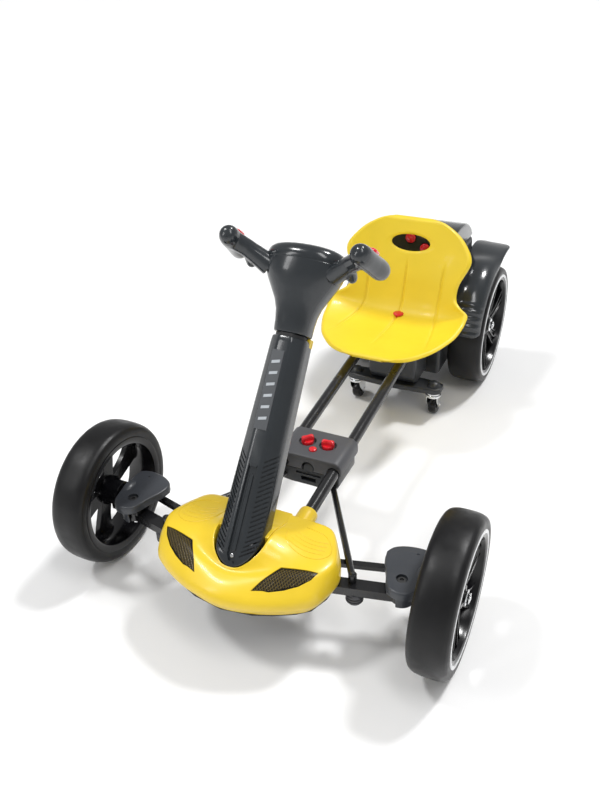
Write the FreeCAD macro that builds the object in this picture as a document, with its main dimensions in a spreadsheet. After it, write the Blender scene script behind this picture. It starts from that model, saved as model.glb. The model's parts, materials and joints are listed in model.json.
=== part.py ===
import FreeCAD, Part
import math
import os
import re
import Sketcher
from FreeCAD import Placement, Rotation, Vector

# Pedal go kart.  Millimetres, +Z up, -Y to the front, +X to the right as seen from the front.
# Sizes below are measured from the front axle, and every sub-part's Placement then moves it by
# axle_y, so that the origin is under the middle of the whole kart.

doc = FreeCAD.newDocument("PedalGoKart")
sheet = doc.addObject("Spreadsheet::Sheet", "Dims")

dims = {
    "axle_y": -381.55, "wheelbase": 786.6, "fit_gap": 0.05, "wall": 3.0,
    # wheels
    "front_wheel_r": 115.0, "front_wheel_w": 57.0, "front_rim_r": 84.0, "front_track": 279.5,
    "rear_wheel_r": 126.5, "rear_wheel_w": 70.0, "rear_rim_r": 99.0, "rear_track": 119.7,
    "rim_lip": 12.0, "lip_t": 3.5, "barrel_t": 8.0, "hub_r": 20.0, "axle_r": 8.0,
    "shoulder_r": 17.0, "rear_shoulder_r": 14.0, "spoke_w": 17.0, "spoke_t": 10.0, "spokes": 6.0,
    # front beam, kingpins and steering linkage
    "beam_low": 101.0, "beam_tall": 14.0, "beam_half": 10.2, "beam_y": -72.0,
    "kingpin_x": 217.7, "kingpin_y": -22.3, "kingpin_r": 5.0, "boss_r": 14.0,
    "arm_len": 48.0, "pitman_y": -79.0, "tie_low": 104.0, "tie_tall": 7.4, "tie_half": 5.0,
    "eye_r": 9.0, "pin_r": 4.0, "plate_low": 117.0, "plate_top": 130.0, "cover_top": 137.0,
    # frame tubes, clamp and braces
    "tube_r": 10.0, "tube_x": 44.6, "tube_z": 125.3, "tube_slope": 0.0945,
    "tube_front": 12.0, "tube_back": 640.0, "clamp_y": 150.0, "clamp_len": 78.0,
    "clamp_half": 58.0, "clamp_low": 100.0, "clamp_split": 143.5, "clamp_top": 160.0, "release_r": 6.5,
    "knob_x": 18.0, "knob_y": 192.0, "knob_r": 9.5, "well_r": 15.0, "knob_top": 170.0,
    "brace_r": 5.0, "brace_x": 151.0, "brace_y": -33.0, "brace_z": 122.0,
    "foot_x": 156.0, "foot_y": -37.0, "foot_r": 11.0, "foot_low": 84.0,
    # steering column, in a frame that leans back round the universal joint
    "joint_z": 146.6, "column_tilt": 37.3, "sleeve_low": 12.0, "sleeve_top": 300.0,
    "sleeve_wide": 35.0, "sleeve_narrow": 27.0, "sleeve_half": 25.0, "shaft_r": 8.0,
    "collar_top": 313.5, "head_low": 314.5, "cap_low": 417.0, "cap_top": 433.0,
    "grip_r": 17.0, "arm_r": 11.0, "button_r": 8.0, "button_x": 25.0, "button_y": -16.0,
    "throttle_x": 101.5, "throttle_y": -40.0, "throttle_half_x": 7.5, "throttle_half_y": 12.0,
    "throttle_low": 432.5, "throttle_tall": 9.0, "press_gap": 0.4, "stub_r": 7.0,
    # hood
    "hood_low": 101.0, "hood_mid": 122.0, "hood_top": 161.0, "tray_t": 2.5,
    # rear unit
    "box_half": 76.0, "box_low": 60.0, "box_split": 300.0, "box_wall": 4.0,
    "pedestal_half": 58.0, "pedestal_y": 560.0, "pedestal_top": 203.0, "box_front": 645.0,
    "cross_low": 58.0, "cross_top": 70.0, "rear_z": 126.5, "seat_t": 5.0,
    "caster_x": 84.0, "caster_y": 599.0, "caster_r": 20.0, "caster_w": 18.0, "trail": 14.0,
    "fender_low_x": 76.0, "fender_high_x": 152.0, "fender_t": 4.0,
}
for row, (alias, value) in enumerate(dims.items(), start=1):
    sheet.set(f"A{row}", str(value))
    sheet.setAlias(f"A{row}", alias)
doc.recompute()

nodes = []


def size(text):
    """The number that an expression on the sheet's cells gives."""
    return float(sheet.evalExpression(cells(text)))


def cells(text):
    return re.sub(r"[a-z]\w*", lambda found: "Dims." + found.group(0), str(text))


def bind(item, **values):
    for name, text in values.items():
        item.setExpression(name.replace("__", "."), cells(text))


def keep(item, label):
    item.Label = label
    nodes.append(item)
    return item


def stand(item, label):
    """A sub-part measured from the front axle."""
    bind(item, Placement__Base__y="axle_y")
    return keep(item, label)


def lean(item, label):
    """A sub-part measured along the steering column from the universal joint."""
    item.Placement = Placement(Vector(), Rotation(Vector(-1, 0, 0), size("column_tilt")))
    bind(item, Placement__Base__y="axle_y + pitman_y", Placement__Base__z="joint_z")
    return keep(item, label)


def on_axle(item, label, x, y, z):
    """A wheel piece made round its own Z, turned on to X."""
    item.Placement = Placement(Vector(), Rotation(Vector(0, 1, 0), 90))
    bind(item, Placement__Base__x=x, Placement__Base__y="axle_y + " + y, Placement__Base__z=z)
    return keep(item, label)


def mirrored(source, label):
    made = doc.addObject("Part::Mirroring", label)
    made.Source = source
    made.Normal = Vector(1, 0, 0)
    return keep(made, label)


# ---- PartDesign helpers
def body(name):
    return doc.addObject("PartDesign::Body", name)


def sketch(owner, name, role="XY_Plane", lift="0"):
    made = owner.newObject("Sketcher::SketchObject", owner.Name + "_" + name)
    plane = [item for item in owner.Origin.OriginFeatures if item.Role == role][0]
    made.AttachmentSupport = [(plane, "")]
    made.MapMode = "FlatFace"
    bind(made, AttachmentOffset__Base__z=lift)
    return made


def pin_point(drawing, geometry, position, x, y):
    """Ties a point of the drawing to two expressions."""
    for kind, text, axis in (("DistanceX", x, -2), ("DistanceY", y, -1)):
        value = size(text)
        if value == 0:
            drawing.addConstraint(Sketcher.Constraint("PointOnObject", geometry, position, axis))
            continue
        limit = Sketcher.Constraint(kind, -1, 1, geometry, position, value)
        index = drawing.addConstraint(limit)
        drawing.setExpression(f"Constraints[{index}]", cells(text))


def polygon(drawing, points):
    first = drawing.GeometryCount
    places = [Vector(size(x), size(y), 0) for x, y in points]
    count = len(points)
    for index in range(count):
        line = Part.LineSegment(places[index], places[(index + 1) % count])
        drawing.addGeometry(line, False)
    for index in range(count):
        follower = first + (index + 1) % count
        drawing.addConstraint(Sketcher.Constraint("Coincident", first + index, 2, follower, 1))
    for index, (x, y) in enumerate(points):
        pin_point(drawing, first + index, 1, x, y)


def circle(drawing, x, y, radius):
    round_line = Part.Circle(Vector(size(x), size(y), 0), Vector(0, 0, 1), size(radius))
    geometry = drawing.addGeometry(round_line, False)
    index = drawing.addConstraint(Sketcher.Constraint("Radius", geometry, size(radius)))
    drawing.setExpression(f"Constraints[{index}]", cells(radius))
    pin_point(drawing, geometry, 3, x, y)


def rectangle(drawing, low_x, low_y, high_x, high_y):
    corners = [(low_x, low_y), (high_x, low_y), (high_x, high_y), (low_x, high_y)]
    polygon(drawing, corners)


def pad(owner, drawing, length):
    made = owner.newObject("PartDesign::Pad", drawing.Name + "_pad")
    made.Profile = drawing
    bind(made, Length=length)
    doc.recompute()
    return made


def pocket(owner, drawing, length):
    """Cuts upwards from the drawing, and stops the build if nothing was cut."""
    before = owner.Shape.Volume
    made = owner.newObject("PartDesign::Pocket", drawing.Name + "_pocket")
    made.Profile = drawing
    made.Reversed = True
    bind(made, Length=length)
    doc.recompute()
    if owner.Shape.Volume >= before - 1:
        raise ValueError(f"{made.Name} cuts nothing")
    return made


def revolve(owner, drawing):
    made = owner.newObject("PartDesign::Revolution", drawing.Name + "_turn")
    made.Profile = drawing
    made.ReferenceAxis = (drawing, ["V_Axis"])
    made.Angle = 360
    doc.recompute()
    return made


def round_edges(owner, base, radius, wanted):
    """Fillets the edges of base that the test wanted picks."""
    names = [f"Edge{number}" for number, edge in enumerate(base.Shape.Edges, start=1) if wanted(edge)]
    made = owner.newObject("PartDesign::Fillet", base.Name + "_round")
    made.Base = (base, names)
    bind(made, Radius=radius)
    doc.recompute()
    return made


def repeat_round(owner, feature, count):
    made = owner.newObject("PartDesign::PolarPattern", feature.Name + "_ring")
    made.Originals = [feature]
    made.Axis = ([item for item in owner.Origin.OriginFeatures if item.Role == "Z_Axis"][0], [""])
    made.Angle = 360
    bind(made, Occurrences=count)
    owner.Tip = made
    doc.recompute()
    return made


# ---- Part helpers
def block(low, high):
    made = doc.addObject("Part::Box", "Block")
    bind(made, Placement__Base__x=low[0], Placement__Base__y=low[1], Placement__Base__z=low[2],
         Length=f"({high[0]}) - ({low[0]})", Width=f"({high[1]}) - ({low[1]})",
         Height=f"({high[2]}) - ({low[2]})")
    return made


def post(radius, x, y, low, high):
    """An upright cylinder."""
    made = doc.addObject("Part::Cylinder", "Post")
    bind(made, Radius=radius, Height=f"({high}) - ({low})", Placement__Base__x=x,
         Placement__Base__y=y, Placement__Base__z=low)
    return made


def rod(radius, start, end):
    """A cylinder from one point to another."""
    first = Vector(*[size(value) for value in start])
    last = Vector(*[size(value) for value in end])
    made = doc.addObject("Part::Cylinder", "Rod")
    made.Placement = Placement(first, Rotation(Vector(0, 0, 1), last - first))
    made.Height = (last - first).Length
    bind(made, Radius=radius)
    return made


def ball(radius, x, y, z):
    made = doc.addObject("Part::Sphere", "Ball")
    bind(made, Radius=radius, Placement__Base__x=x, Placement__Base__y=y, Placement__Base__z=z)
    return made


def leaning(item):
    """Moves a primitive made along the column into the axle's frame."""
    tilt = Rotation(Vector(-1, 0, 0), size("column_tilt"))
    frame = Placement(Vector(0, size("pitman_y"), size("joint_z")), tilt)
    doc.recompute()
    place = frame.multiply(item.Placement)
    for name in ("x", "y", "z"):
        item.setExpression("Placement.Base." + name, None)
    item.Placement = place
    return item


def fuse(*items):
    made = doc.addObject("Part::MultiFuse", "Fused")
    made.Shapes = list(items)
    made.Refine = True
    return made


def cut(base, *tools):
    made = doc.addObject("Part::Cut", "Trimmed")
    made.Base = base
    made.Tool = tools[0] if len(tools) == 1 else fuse(*tools)
    made.Refine = True
    return made


def common(*items):
    made = doc.addObject("Part::MultiCommon", "Shared")
    made.Shapes = list(items)
    return made


def shape_feature(name, shape):
    made = doc.addObject("Part::Feature", name)
    made.Shape = shape
    return made


def closed_wire(points):
    return Part.makePolygon([Vector(*point) for point in points] + [Vector(*points[0])])


def both_sides(half):
    """A right-hand outline from front to back, completed with its mirror image."""
    left = [(-x, y, z) for x, y, z in reversed(half) if x > 0]
    return half + left


# ---- wheels
def tyre(name, radius, width, rim_radius, shoulder):
    owner = body(name)
    profile = sketch(owner, "profile", "XZ_Plane")
    seat, lip = rim_radius, f"{rim_radius} + rim_lip"
    side, inner = f"{width} / 2", f"{width} / 2 - lip_t"
    polygon(profile, [(seat, f"-({inner})"), (lip, f"-({inner})"), (lip, f"-({side})"),
                      (radius, f"-({side})"), (radius, side), (lip, side), (lip, inner),
                      (seat, inner)])
    turned = revolve(owner, profile)
    outer = size(radius)

    def is_shoulder(edge):
        return isinstance(edge.Curve, Part.Circle) and abs(edge.Curve.Radius - outer) < 0.1

    round_edges(owner, turned, shoulder, is_shoulder)
    return owner


def rim(name, width, rim_radius, hub_low, hub_high):
    owner = body(name)
    profile = sketch(owner, "profile", "XZ_Plane")
    side, inner, lip = f"{width} / 2", f"{width} / 2 - lip_t", f"{rim_radius} + rim_lip"
    barrel = f"{rim_radius} - barrel_t"
    polygon(profile, [(barrel, f"-({side})"), (lip, f"-({side})"), (lip, f"-({inner})"),
                      (rim_radius, f"-({inner})"), (rim_radius, inner), (lip, inner),
                      (lip, side), (barrel, side)])
    revolve(owner, profile)
    spoke = sketch(owner, "spoke", lift=f"{width} / 4 - spoke_t / 2")
    polygon(spoke, [("hub_r - 4", "-spoke_w / 2 - 3"), (f"{barrel} + 2", "-spoke_w / 2 + 2"),
                    (f"{barrel} + 2", "spoke_w / 2 - 2"), ("hub_r - 4", "spoke_w / 2 + 3")])
    web = sketch(owner, "web", lift=f"{width} / 4 - spoke_t / 2")
    circle(web, "0", "0", "hub_r + 8")
    pad(owner, web, "spoke_t")
    hub = sketch(owner, "hub", lift=hub_low)
    circle(hub, "0", "0", "hub_r")
    pad(owner, hub, f"({hub_high}) - ({hub_low})")
    arm = pad(owner, spoke, "spoke_t")
    repeat_round(owner, arm, "spokes")
    bore = sketch(owner, "bore", lift=hub_low)
    circle(bore, "0", "0", "axle_r + fit_gap")
    pocket(owner, bore, f"({hub_high}) - ({hub_low})")
    return owner


front_tyre = on_axle(tyre("front_tyre", "front_wheel_r", "front_wheel_w", "front_rim_r", "shoulder_r"),
                     "front_tyre_right", "front_track", "0", "front_wheel_r")
mirrored(front_tyre, "front_tyre_left")
front_rim = on_axle(rim("front_rim", "front_wheel_w", "front_rim_r", "-24", "22"),
                    "front_rim_right", "front_track", "0", "front_wheel_r")
mirrored(front_rim, "front_rim_left")
rear_tyre = on_axle(tyre("rear_tyre", "rear_wheel_r", "rear_wheel_w", "rear_rim_r", "rear_shoulder_r"),
                    "rear_tyre_right", "rear_track", "wheelbase", "rear_z")
mirrored(rear_tyre, "rear_tyre_left")
rear_rim = on_axle(rim("rear_rim", "rear_wheel_w", "rear_rim_r", "-30", "25"),
                   "rear_rim_right", "rear_track", "wheelbase", "rear_z")
mirrored(rear_rim, "rear_rim_left")

# ---- front beam: a shallow V with a kingpin boss at each end
beam = body("front_beam")
beam_plan = sketch(beam, "plan", lift="beam_low")
polygon(beam_plan, [("0", "beam_y - beam_half"), ("kingpin_x", "kingpin_y - beam_half"),
                    ("kingpin_x", "kingpin_y + beam_half"), ("0", "beam_y + beam_half"),
                    ("-kingpin_x", "kingpin_y + beam_half"),
                    ("-kingpin_x", "kingpin_y - beam_half")])
pad(beam, beam_plan, "beam_tall")
beam_bosses = sketch(beam, "bosses", lift="beam_low - 1")
beam_holes = sketch(beam, "holes", lift="beam_low - 1")
for sign in ("", "-"):
    circle(beam_bosses, sign + "kingpin_x", "kingpin_y", "boss_r")
    circle(beam_holes, sign + "kingpin_x", "kingpin_y", "kingpin_r")
pad(beam, beam_bosses, "beam_tall + 2")
pocket(beam, beam_holes, "beam_tall + 2")
stand(beam, "front_beam")

# kingpins with their nuts, and the dome bolts that hold the braces
bolts = []
for sign in ("", "-"):
    bolts += [post("kingpin_r", sign + "kingpin_x", "kingpin_y", "beam_low - 9", "plate_top - 2.5"),
              post("8", sign + "kingpin_x", "kingpin_y", "beam_low - 8", "beam_low - 1")]
stand(fuse(*bolts), "kingpins")
feet = []
for sign in ("", "-"):
    feet += [post("foot_r", sign + "foot_x", "foot_y", "foot_low", "beam_low"),
             post("foot_r + 2", sign + "foot_x", "foot_y", "foot_low + 5", "foot_low + 8"),
             post("foot_r + 2", sign + "foot_x", "foot_y", "foot_low + 11", "foot_low + 14")]
stand(fuse(*feet), "bump_feet")

# ---- knuckle: turns on the kingpin and carries the wheel's stub axle
knuckle = cut(
    fuse(block(("kingpin_x - 16", "kingpin_y - 16", "plate_low"), ("250 - 2", "kingpin_y + arm_len + 10", "plate_top")),
         block(("kingpin_x + 18.3", "-13", "front_wheel_r - 12"), ("248", "13", "plate_top")),
         rod("axle_r", ("kingpin_x + 20", "0", "front_wheel_r"), ("front_track + 21.5", "0", "front_wheel_r")),
         post("pin_r", "kingpin_x", "kingpin_y + arm_len", "tie_low - 1.5", "plate_low + 1")),
    post("kingpin_r + fit_gap", "kingpin_x", "kingpin_y", "plate_low", "plate_top - 2"),
    rod("pin_r", ("front_track", "0", "front_wheel_r"), ("front_track + 22", "0", "front_wheel_r")))
mirrored(stand(knuckle, "knuckle_right"), "knuckle_left")

cover = body("knuckle_cover")
cover_plan = sketch(cover, "plan", lift="plate_top")
polygon(cover_plan, [("181", "22"), ("184", "4"), ("193", "-16"), ("199", "-34"), ("208", "-46"),
                     ("220", "-50"), ("232", "-47"), ("242", "-36"), ("247", "-18"), ("248", "32"),
                     ("242", "42"), ("226", "46"), ("204", "42"), ("188", "34")])
cover_pad = pad(cover, cover_plan, "cover_top - plate_top")
cover_top = size("cover_top")


def is_cover_rim(edge):
    return all(abs(point.Point.z - cover_top) < 0.01 for point in edge.Vertexes)


round_edges(cover, cover_pad, "2.5", is_cover_rim)
well = sketch(cover, "well", lift="cover_top - 4")
circle(well, "kingpin_x", "kingpin_y", "8")
pocket(cover, well, "5")
mirrored(stand(cover, "knuckle_cover_right"), "knuckle_cover_left")

axle_bolt = fuse(
    rod("pin_r", ("front_track + 2", "0", "front_wheel_r"), ("front_track + 26", "0", "front_wheel_r")),
    rod("12", ("front_track + 22.3", "0", "front_wheel_r"), ("front_track + 24", "0", "front_wheel_r")),
    rod("7.5", ("front_track + 24", "0", "front_wheel_r"), ("front_track + 28", "0", "front_wheel_r")))
mirrored(stand(axle_bolt, "axle_bolt_right"), "axle_bolt_left")

# ---- steering linkage: the tie bar and the pitman arm make a parallelogram with both knuckles
tie = body("tie_bar")
tie_plan = sketch(tie, "plan", lift="tie_low")
polygon(tie_plan, [("0", "pitman_y + arm_len - tie_half"),
                   ("kingpin_x", "kingpin_y + arm_len - tie_half"),
                   ("kingpin_x", "kingpin_y + arm_len + tie_half"),
                   ("0", "pitman_y + arm_len + tie_half"),
                   ("-kingpin_x", "kingpin_y + arm_len + tie_half"),
                   ("-kingpin_x", "kingpin_y + arm_len - tie_half")])
pad(tie, tie_plan, "tie_tall")
tie_eyes = sketch(tie, "eyes", lift="tie_low")
tie_holes = sketch(tie, "holes", lift="tie_low")
for x, y, radius in (("0", "pitman_y", "kingpin_r + fit_gap"), ("kingpin_x", "kingpin_y", "pin_r + 0.4"),
                     ("-kingpin_x", "kingpin_y", "pin_r + 0.4")):
    circle(tie_eyes, x, y + " + arm_len", "eye_r")
    circle(tie_holes, x, y + " + arm_len", radius)
pad(tie, tie_eyes, "tie_tall")
pocket(tie, tie_holes, "tie_tall")
stand(tie, "tie_bar")

pitman = fuse(
    post("7", "0", "pitman_y", "plate_low", "140"), post("3", "0", "pitman_y", "139", "joint_z"),
    ball("5.5", "0", "pitman_y", "joint_z"), post("10", "0", "pitman_y", "plate_low", "plate_low + 5"),
    block(("-8", "pitman_y", "plate_low"), ("8", "pitman_y + arm_len", "plate_low + 5")),
    post("8", "0", "pitman_y + arm_len", "plate_low", "plate_low + 5"),
    post("kingpin_r", "0", "pitman_y + arm_len", "tie_low - 1.5", "plate_low + 1"))
stand(pitman, "pitman_arm")

# ---- column foot: stands on the beam, holds the sleeve and the pitman arm's shaft
foot = cut(
    fuse(block(("-60", "-118", "124"), ("60", "-50", "136")),
         block(("38", "-76", "beam_low + beam_tall"), ("60", "-52", "125")),
         block(("-60", "-76", "beam_low + beam_tall"), ("-38", "-52", "125")),
         leaning(block(("-30", "-20", "-14"), ("30", "20", "sleeve_low + 14")))),
    block(("-80", "-140", "90"), ("-36", "-77", "124")), block(("-36", "-140", "90"), ("36", "0", "124")),
    post("7 + fit_gap", "0", "pitman_y", "110", "150"), ball("15", "0", "pitman_y", "joint_z"),
    leaning(post("10", "0", "0", "0", "60")))
stand(foot, "column_foot")

# ---- column: a tapered sleeve, its label panel and the collar that carries the shaft
sleeve = body("column_sleeve")
sleeve_face = sketch(sleeve, "face", "XZ_Plane", "-sleeve_half")
polygon(sleeve_face, [("-sleeve_wide", "sleeve_low"), ("sleeve_wide", "sleeve_low"),
                      ("sleeve_narrow", "sleeve_top"), ("-sleeve_narrow", "sleeve_top")])
sleeve_pad = pad(sleeve, sleeve_face, "2 * sleeve_half")


def is_long_corner(edge):
    low, high = edge.Vertexes[0].Point, edge.Vertexes[-1].Point
    return abs(low.z - high.z) > 100


round_edges(sleeve, sleeve_pad, "9", is_long_corner)
sleeve_bore = sketch(sleeve, "bore", "XZ_Plane", "wall + 1 - sleeve_half")
polygon(sleeve_bore, [("wall + 1 - sleeve_wide", "sleeve_low"), ("sleeve_wide - wall - 1", "sleeve_low"),
                      ("sleeve_narrow - wall - 1", "sleeve_top"),
                      ("wall + 1 - sleeve_narrow", "sleeve_top")])
pocket(sleeve, sleeve_bore, "2 * sleeve_half - 2 * wall - 2")
lean(sleeve, "column_sleeve")
panel = body("column_panel")
panel_face = sketch(panel, "face", "XZ_Plane", "sleeve_half")
polygon(panel_face, [("-20", "170"), ("16", "170"), ("14", "282"), ("-17", "282")])
pad(panel, panel_face, "1.5")
lean(panel, "column_panel")
collar = body("neck_collar")
collar_plan = sketch(collar, "plan", lift="sleeve_top")
rectangle(collar_plan, "-26", "-22", "26", "22")
pad(collar, collar_plan, "collar_top - sleeve_top")
collar_bore = sketch(collar, "bore", lift="sleeve_top")
circle(collar_bore, "0", "0", "shaft_r + fit_gap")
pocket(collar, collar_bore, "collar_top - sleeve_top")
lean(collar, "neck_collar")

# ---- steering head on its shaft
shaft = body("steering_shaft")
shaft_plan = sketch(shaft, "plan", lift="6.5")
circle(shaft_plan, "0", "0", "shaft_r")
pad(shaft, shaft_plan, "400")
lean(shaft, "steering_shaft")


def oval(half_x, half_y, centre_y, level):
    line = Part.Ellipse(Vector(half_x, 0, 0), Vector(0, half_y, 0), Vector())
    wire = Part.Wire([line.toShape()])
    wire.translate(Vector(0, centre_y, level))
    return wire


head_low, cap_low, cap_top = size("head_low"), size("cap_low"), size("cap_top")
head_ovals = [(26, 22, 0, head_low), (34.5, 27, -3, 343), (52, 36, -8, 392), (56.5, 40, -10, cap_low)]
head_shape = Part.makeLoft([oval(*values) for values in head_ovals], True, False)
head_room = Part.makeLoft([oval(half_x - 4, half_y - 4, centre, level)
                           for half_x, half_y, centre, level in head_ovals[1:]], True, False)
head_bore = Part.makeCylinder(size("shaft_r"), 100, Vector(0, 0, head_low))
head = shape_feature("head_shell", head_shape.cut(head_room).cut(head_bore))
lean(head, "head_shell")
cap_ovals = [(56.5, 40, -10, cap_low), (55, 38.5, -10, cap_low + 5), (44, 29, -9, cap_top - 4),
             (26, 17, -8, cap_top)]
cap_shape = Part.makeLoft([oval(*values) for values in cap_ovals], True, False)
well_at = Vector(size("button_x"), size("button_y"), cap_low + 6)
cap_well = Part.makeCylinder(size("button_r") + 0.4, 20, well_at)
lean(shape_feature("head_cap", cap_shape.cut(cap_well)), "head_cap")
power = body("power_button")
power_plan = sketch(power, "plan", lift="cap_low + 9")
circle(power_plan, "button_x", "button_y", "button_r")
power_pad = pad(power, power_plan, "8")


def is_button_rim(edge):
    return edge.Vertexes[0].Point.z > cap_low + 16 and len(edge.Vertexes) == 1


round_edges(power, power_pad, "1.5", is_button_rim)
lean(power, "power_button")

# ---- handle: an arm out of the head with a stub under it, and a grip that is fatter in front
grip_top, grip_end = ("96", "-72", "423"), ("107", "-12", "421")
thumb_low = ("throttle_x - throttle_half_x", "throttle_y - throttle_half_y", "throttle_low")
thumb_high = ("throttle_x + throttle_half_x", "throttle_y + throttle_half_y", "throttle_low + throttle_tall")
thumb_well = block((thumb_low[0] + " - press_gap", thumb_low[1] + " - press_gap", "throttle_low - 3.5"),
                   (thumb_high[0] + " + press_gap", thumb_high[1] + " + press_gap", "throttle_low + 14"))
handle = cut(
    fuse(rod("grip_r - 2", grip_top, grip_end), ball("grip_r", *grip_top), ball("grip_r - 2", *grip_end),
         rod("arm_r", ("50", "-28", "402"), ("97", "-62", "423")),
         rod("stub_r", ("76", "-44", "412"), ("76", "-21", "398"))),
    thumb_well)
mirrored(lean(handle, "handle_right"), "handle_left")
throttle = block(thumb_low, thumb_high)
throttle_top = size("throttle_low + throttle_tall")
throttle_round = doc.addObject("Part::Fillet", "ThrottleRound")
throttle_round.Base = throttle
doc.recompute()
throttle_round.Edges = [(number, 2.0, 2.0) for number, edge in enumerate(throttle.Shape.Edges, start=1)
                        if edge.CenterOfMass.z > throttle_top - 0.5 or abs(edge.Vertexes[0].Z - edge.Vertexes[1].Z) > 5]
mirrored(lean(throttle_round, "throttle_right"), "throttle_left")

# ---- hood: a low shell with lamps in its front corners, open to the rear for the column
hood_low, hood_mid, hood_top = size("hood_low"), size("hood_mid"), size("hood_top")
low_line = [(0, -138), (45, -131), (72, -120), (98, -106), (115, -92), (126, -64), (128, -40),
            (114, -4), (100, 16)]
mid_line = [(0, -150), (47, -142), (77, -130), (105, -115), (124, -98), (136, -66), (136, -40),
            (121, -4), (105, 18)]
top_line = [(0, -112), (40, -110), (66, -90), (92, -82), (112, -74), (122, -56), (123, -38),
            (112, -6), (100, 12)]
middle_y = -60


def hood_solid(inset, low, top):
    """The hood's outside, drawn in by inset on every side."""
    wires = []
    for line, level in ((low_line, low), (mid_line, hood_mid), (top_line, top)):
        drawn = [(x * (1 - inset / 120), middle_y + (y - middle_y) * (1 - inset / 80), level)
                 for x, y in line]
        wires.append(closed_wire(both_sides(drawn)))
    return Part.makeLoft(wires, True, True)


hood_outside = hood_solid(0, hood_low, hood_top)
hood_inside = hood_solid(size("wall"), hood_low - 1, hood_top - size("wall"))
hood_skin = shape_feature("HoodSkin", hood_outside.cut(hood_inside))
lamp_plan = [(44, -126, hood_low + 16), (62, -95, hood_low + 16), (108, -80, hood_low + 16),
             (119, -90, hood_low + 16), (103, -109, hood_low + 16), (76, -122, hood_low + 16)]
lamp_prism = Part.Face(closed_wire(lamp_plan)).extrude(Vector(0, 0, 70))
lamp_tool = shape_feature("LampTool", lamp_prism)
lamp_tool_left = doc.addObject("Part::Mirroring", "LampToolLeft")
lamp_tool_left.Source = lamp_tool
lamp_tool_left.Normal = Vector(1, 0, 0)
mirrored(stand(common(hood_skin, lamp_tool), "lamp_right"), "lamp_left")


def along_tube(y, sign=""):
    """A point on a frame tube's axis, as expressions."""
    return (sign + "tube_x", str(y), f"tube_z + tube_slope * ({y})")


tube_bosses = [rod("tube_r + 6", along_tube("2", sign), along_tube("58", sign)) for sign in ("", "-")]
tube_ways = [rod("tube_r + fit_gap", along_tube("-60", sign), along_tube("300", sign)) for sign in ("", "-")]
trough = cut(block(("-40", "-50", "138"), ("40", "14", "hood_top - 1")),
             block(("-36.5", "-70", "141"), ("36.5", "30", "170")))
hood = cut(fuse(hood_skin, trough, *tube_bosses), lamp_tool, lamp_tool_left,
           leaning(block(("-36.5", "-36", "-60"), ("36.5", "26", "70"))),
           block(("-36.5", "-60", "141"), ("36.5", "60", "200")),
           block(("90", "-64", "90"), ("160", "16", "117.5")),
           block(("-160", "-64", "90"), ("-90", "16", "117.5")), *tube_ways)
stand(hood, "hood")
tray_wire = closed_wire(both_sides([(x, y, hood_low - size("tray_t")) for x, y in low_line]))
tray = Part.Face(tray_wire).extrude(Vector(0, 0, size("tray_t")))
pin_slot = Part.makeBox(80, 34, 20, Vector(-40, -50, hood_low - 10))
stand(shape_feature("hood_tray", tray.cut(pin_slot)), "hood_tray")

# ---- clamp halves round both frame tubes, with the lock knobs and the release button
clamp_low_part = cut(
    block(("3 - clamp_half", "clamp_y + 2", "clamp_low"),
          ("clamp_half - 3", "clamp_y + clamp_len - 2", "clamp_split")),
    *tube_ways, block(("-30", "clamp_y", "108"), ("30", "clamp_y + 12", "128")),
    post("4 + fit_gap", "knob_x", "knob_y", "120", "150"),
    post("4 + fit_gap", "-knob_x", "knob_y", "120", "150"))
stand(clamp_low_part, "clamp_block")
lid = body("ClampLid")
lid_plan = sketch(lid, "plan", lift="clamp_split")
rectangle(lid_plan, "-clamp_half", "clamp_y", "clamp_half", "clamp_y + clamp_len")
lid_pad = pad(lid, lid_plan, "clamp_top - clamp_split")
lid_corners = round_edges(lid, lid_pad, "10", lambda edge: abs(edge.Vertexes[0].Z - edge.Vertexes[1].Z) > 5)
clamp_top = size("clamp_top")
round_edges(lid, lid_corners, "3", lambda edge: all(abs(end.Z - clamp_top) < 0.01 for end in edge.Vertexes))
clamp_cover = cut(lid, *tube_ways, post("well_r", "knob_x", "knob_y", "clamp_top - 6", "clamp_top + 1"),
                  post("well_r", "-knob_x", "knob_y", "clamp_top - 6", "clamp_top + 1"),
                  post("4 + fit_gap", "knob_x", "knob_y", "140", "160"),
                  post("4 + fit_gap", "-knob_x", "knob_y", "140", "160"),
                  post("release_r + press_gap", "0", "clamp_y + 22", "clamp_top - 8", "clamp_top + 1"))
stand(clamp_cover, "clamp_cover")
knob = cut(
    fuse(post("4", "knob_x", "knob_y", "122", "156"),
         post("knob_r", "knob_x", "knob_y", "clamp_top - 5.5", "knob_top - 5"),
         block(("knob_x - 11.5", "knob_y - 3.5", "clamp_top - 1"), ("knob_x + 11.5", "knob_y + 3.5", "knob_top"))),
    post("2", "knob_x", "knob_y", "knob_top - 2", "knob_top + 1"))
mirrored(stand(knob, "lock_knob_right"), "lock_knob_left")
release = body("release_button")
release_plan = sketch(release, "plan", lift="clamp_top - 5")
circle(release_plan, "0", "clamp_y + 22", "release_r")
pad(release, release_plan, "8")
stand(release, "release_button")
brace = fuse(rod("brace_r", ("brace_x", "brace_y", "brace_z"), ("40", "clamp_y + 8", "112")),
             ball("brace_r + 1", "brace_x", "brace_y", "brace_z"),
             post("6", "brace_x", "brace_y", "beam_low + beam_tall", "brace_z + 6"))
mirrored(stand(brace, "brace_right"), "brace_left")

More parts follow.
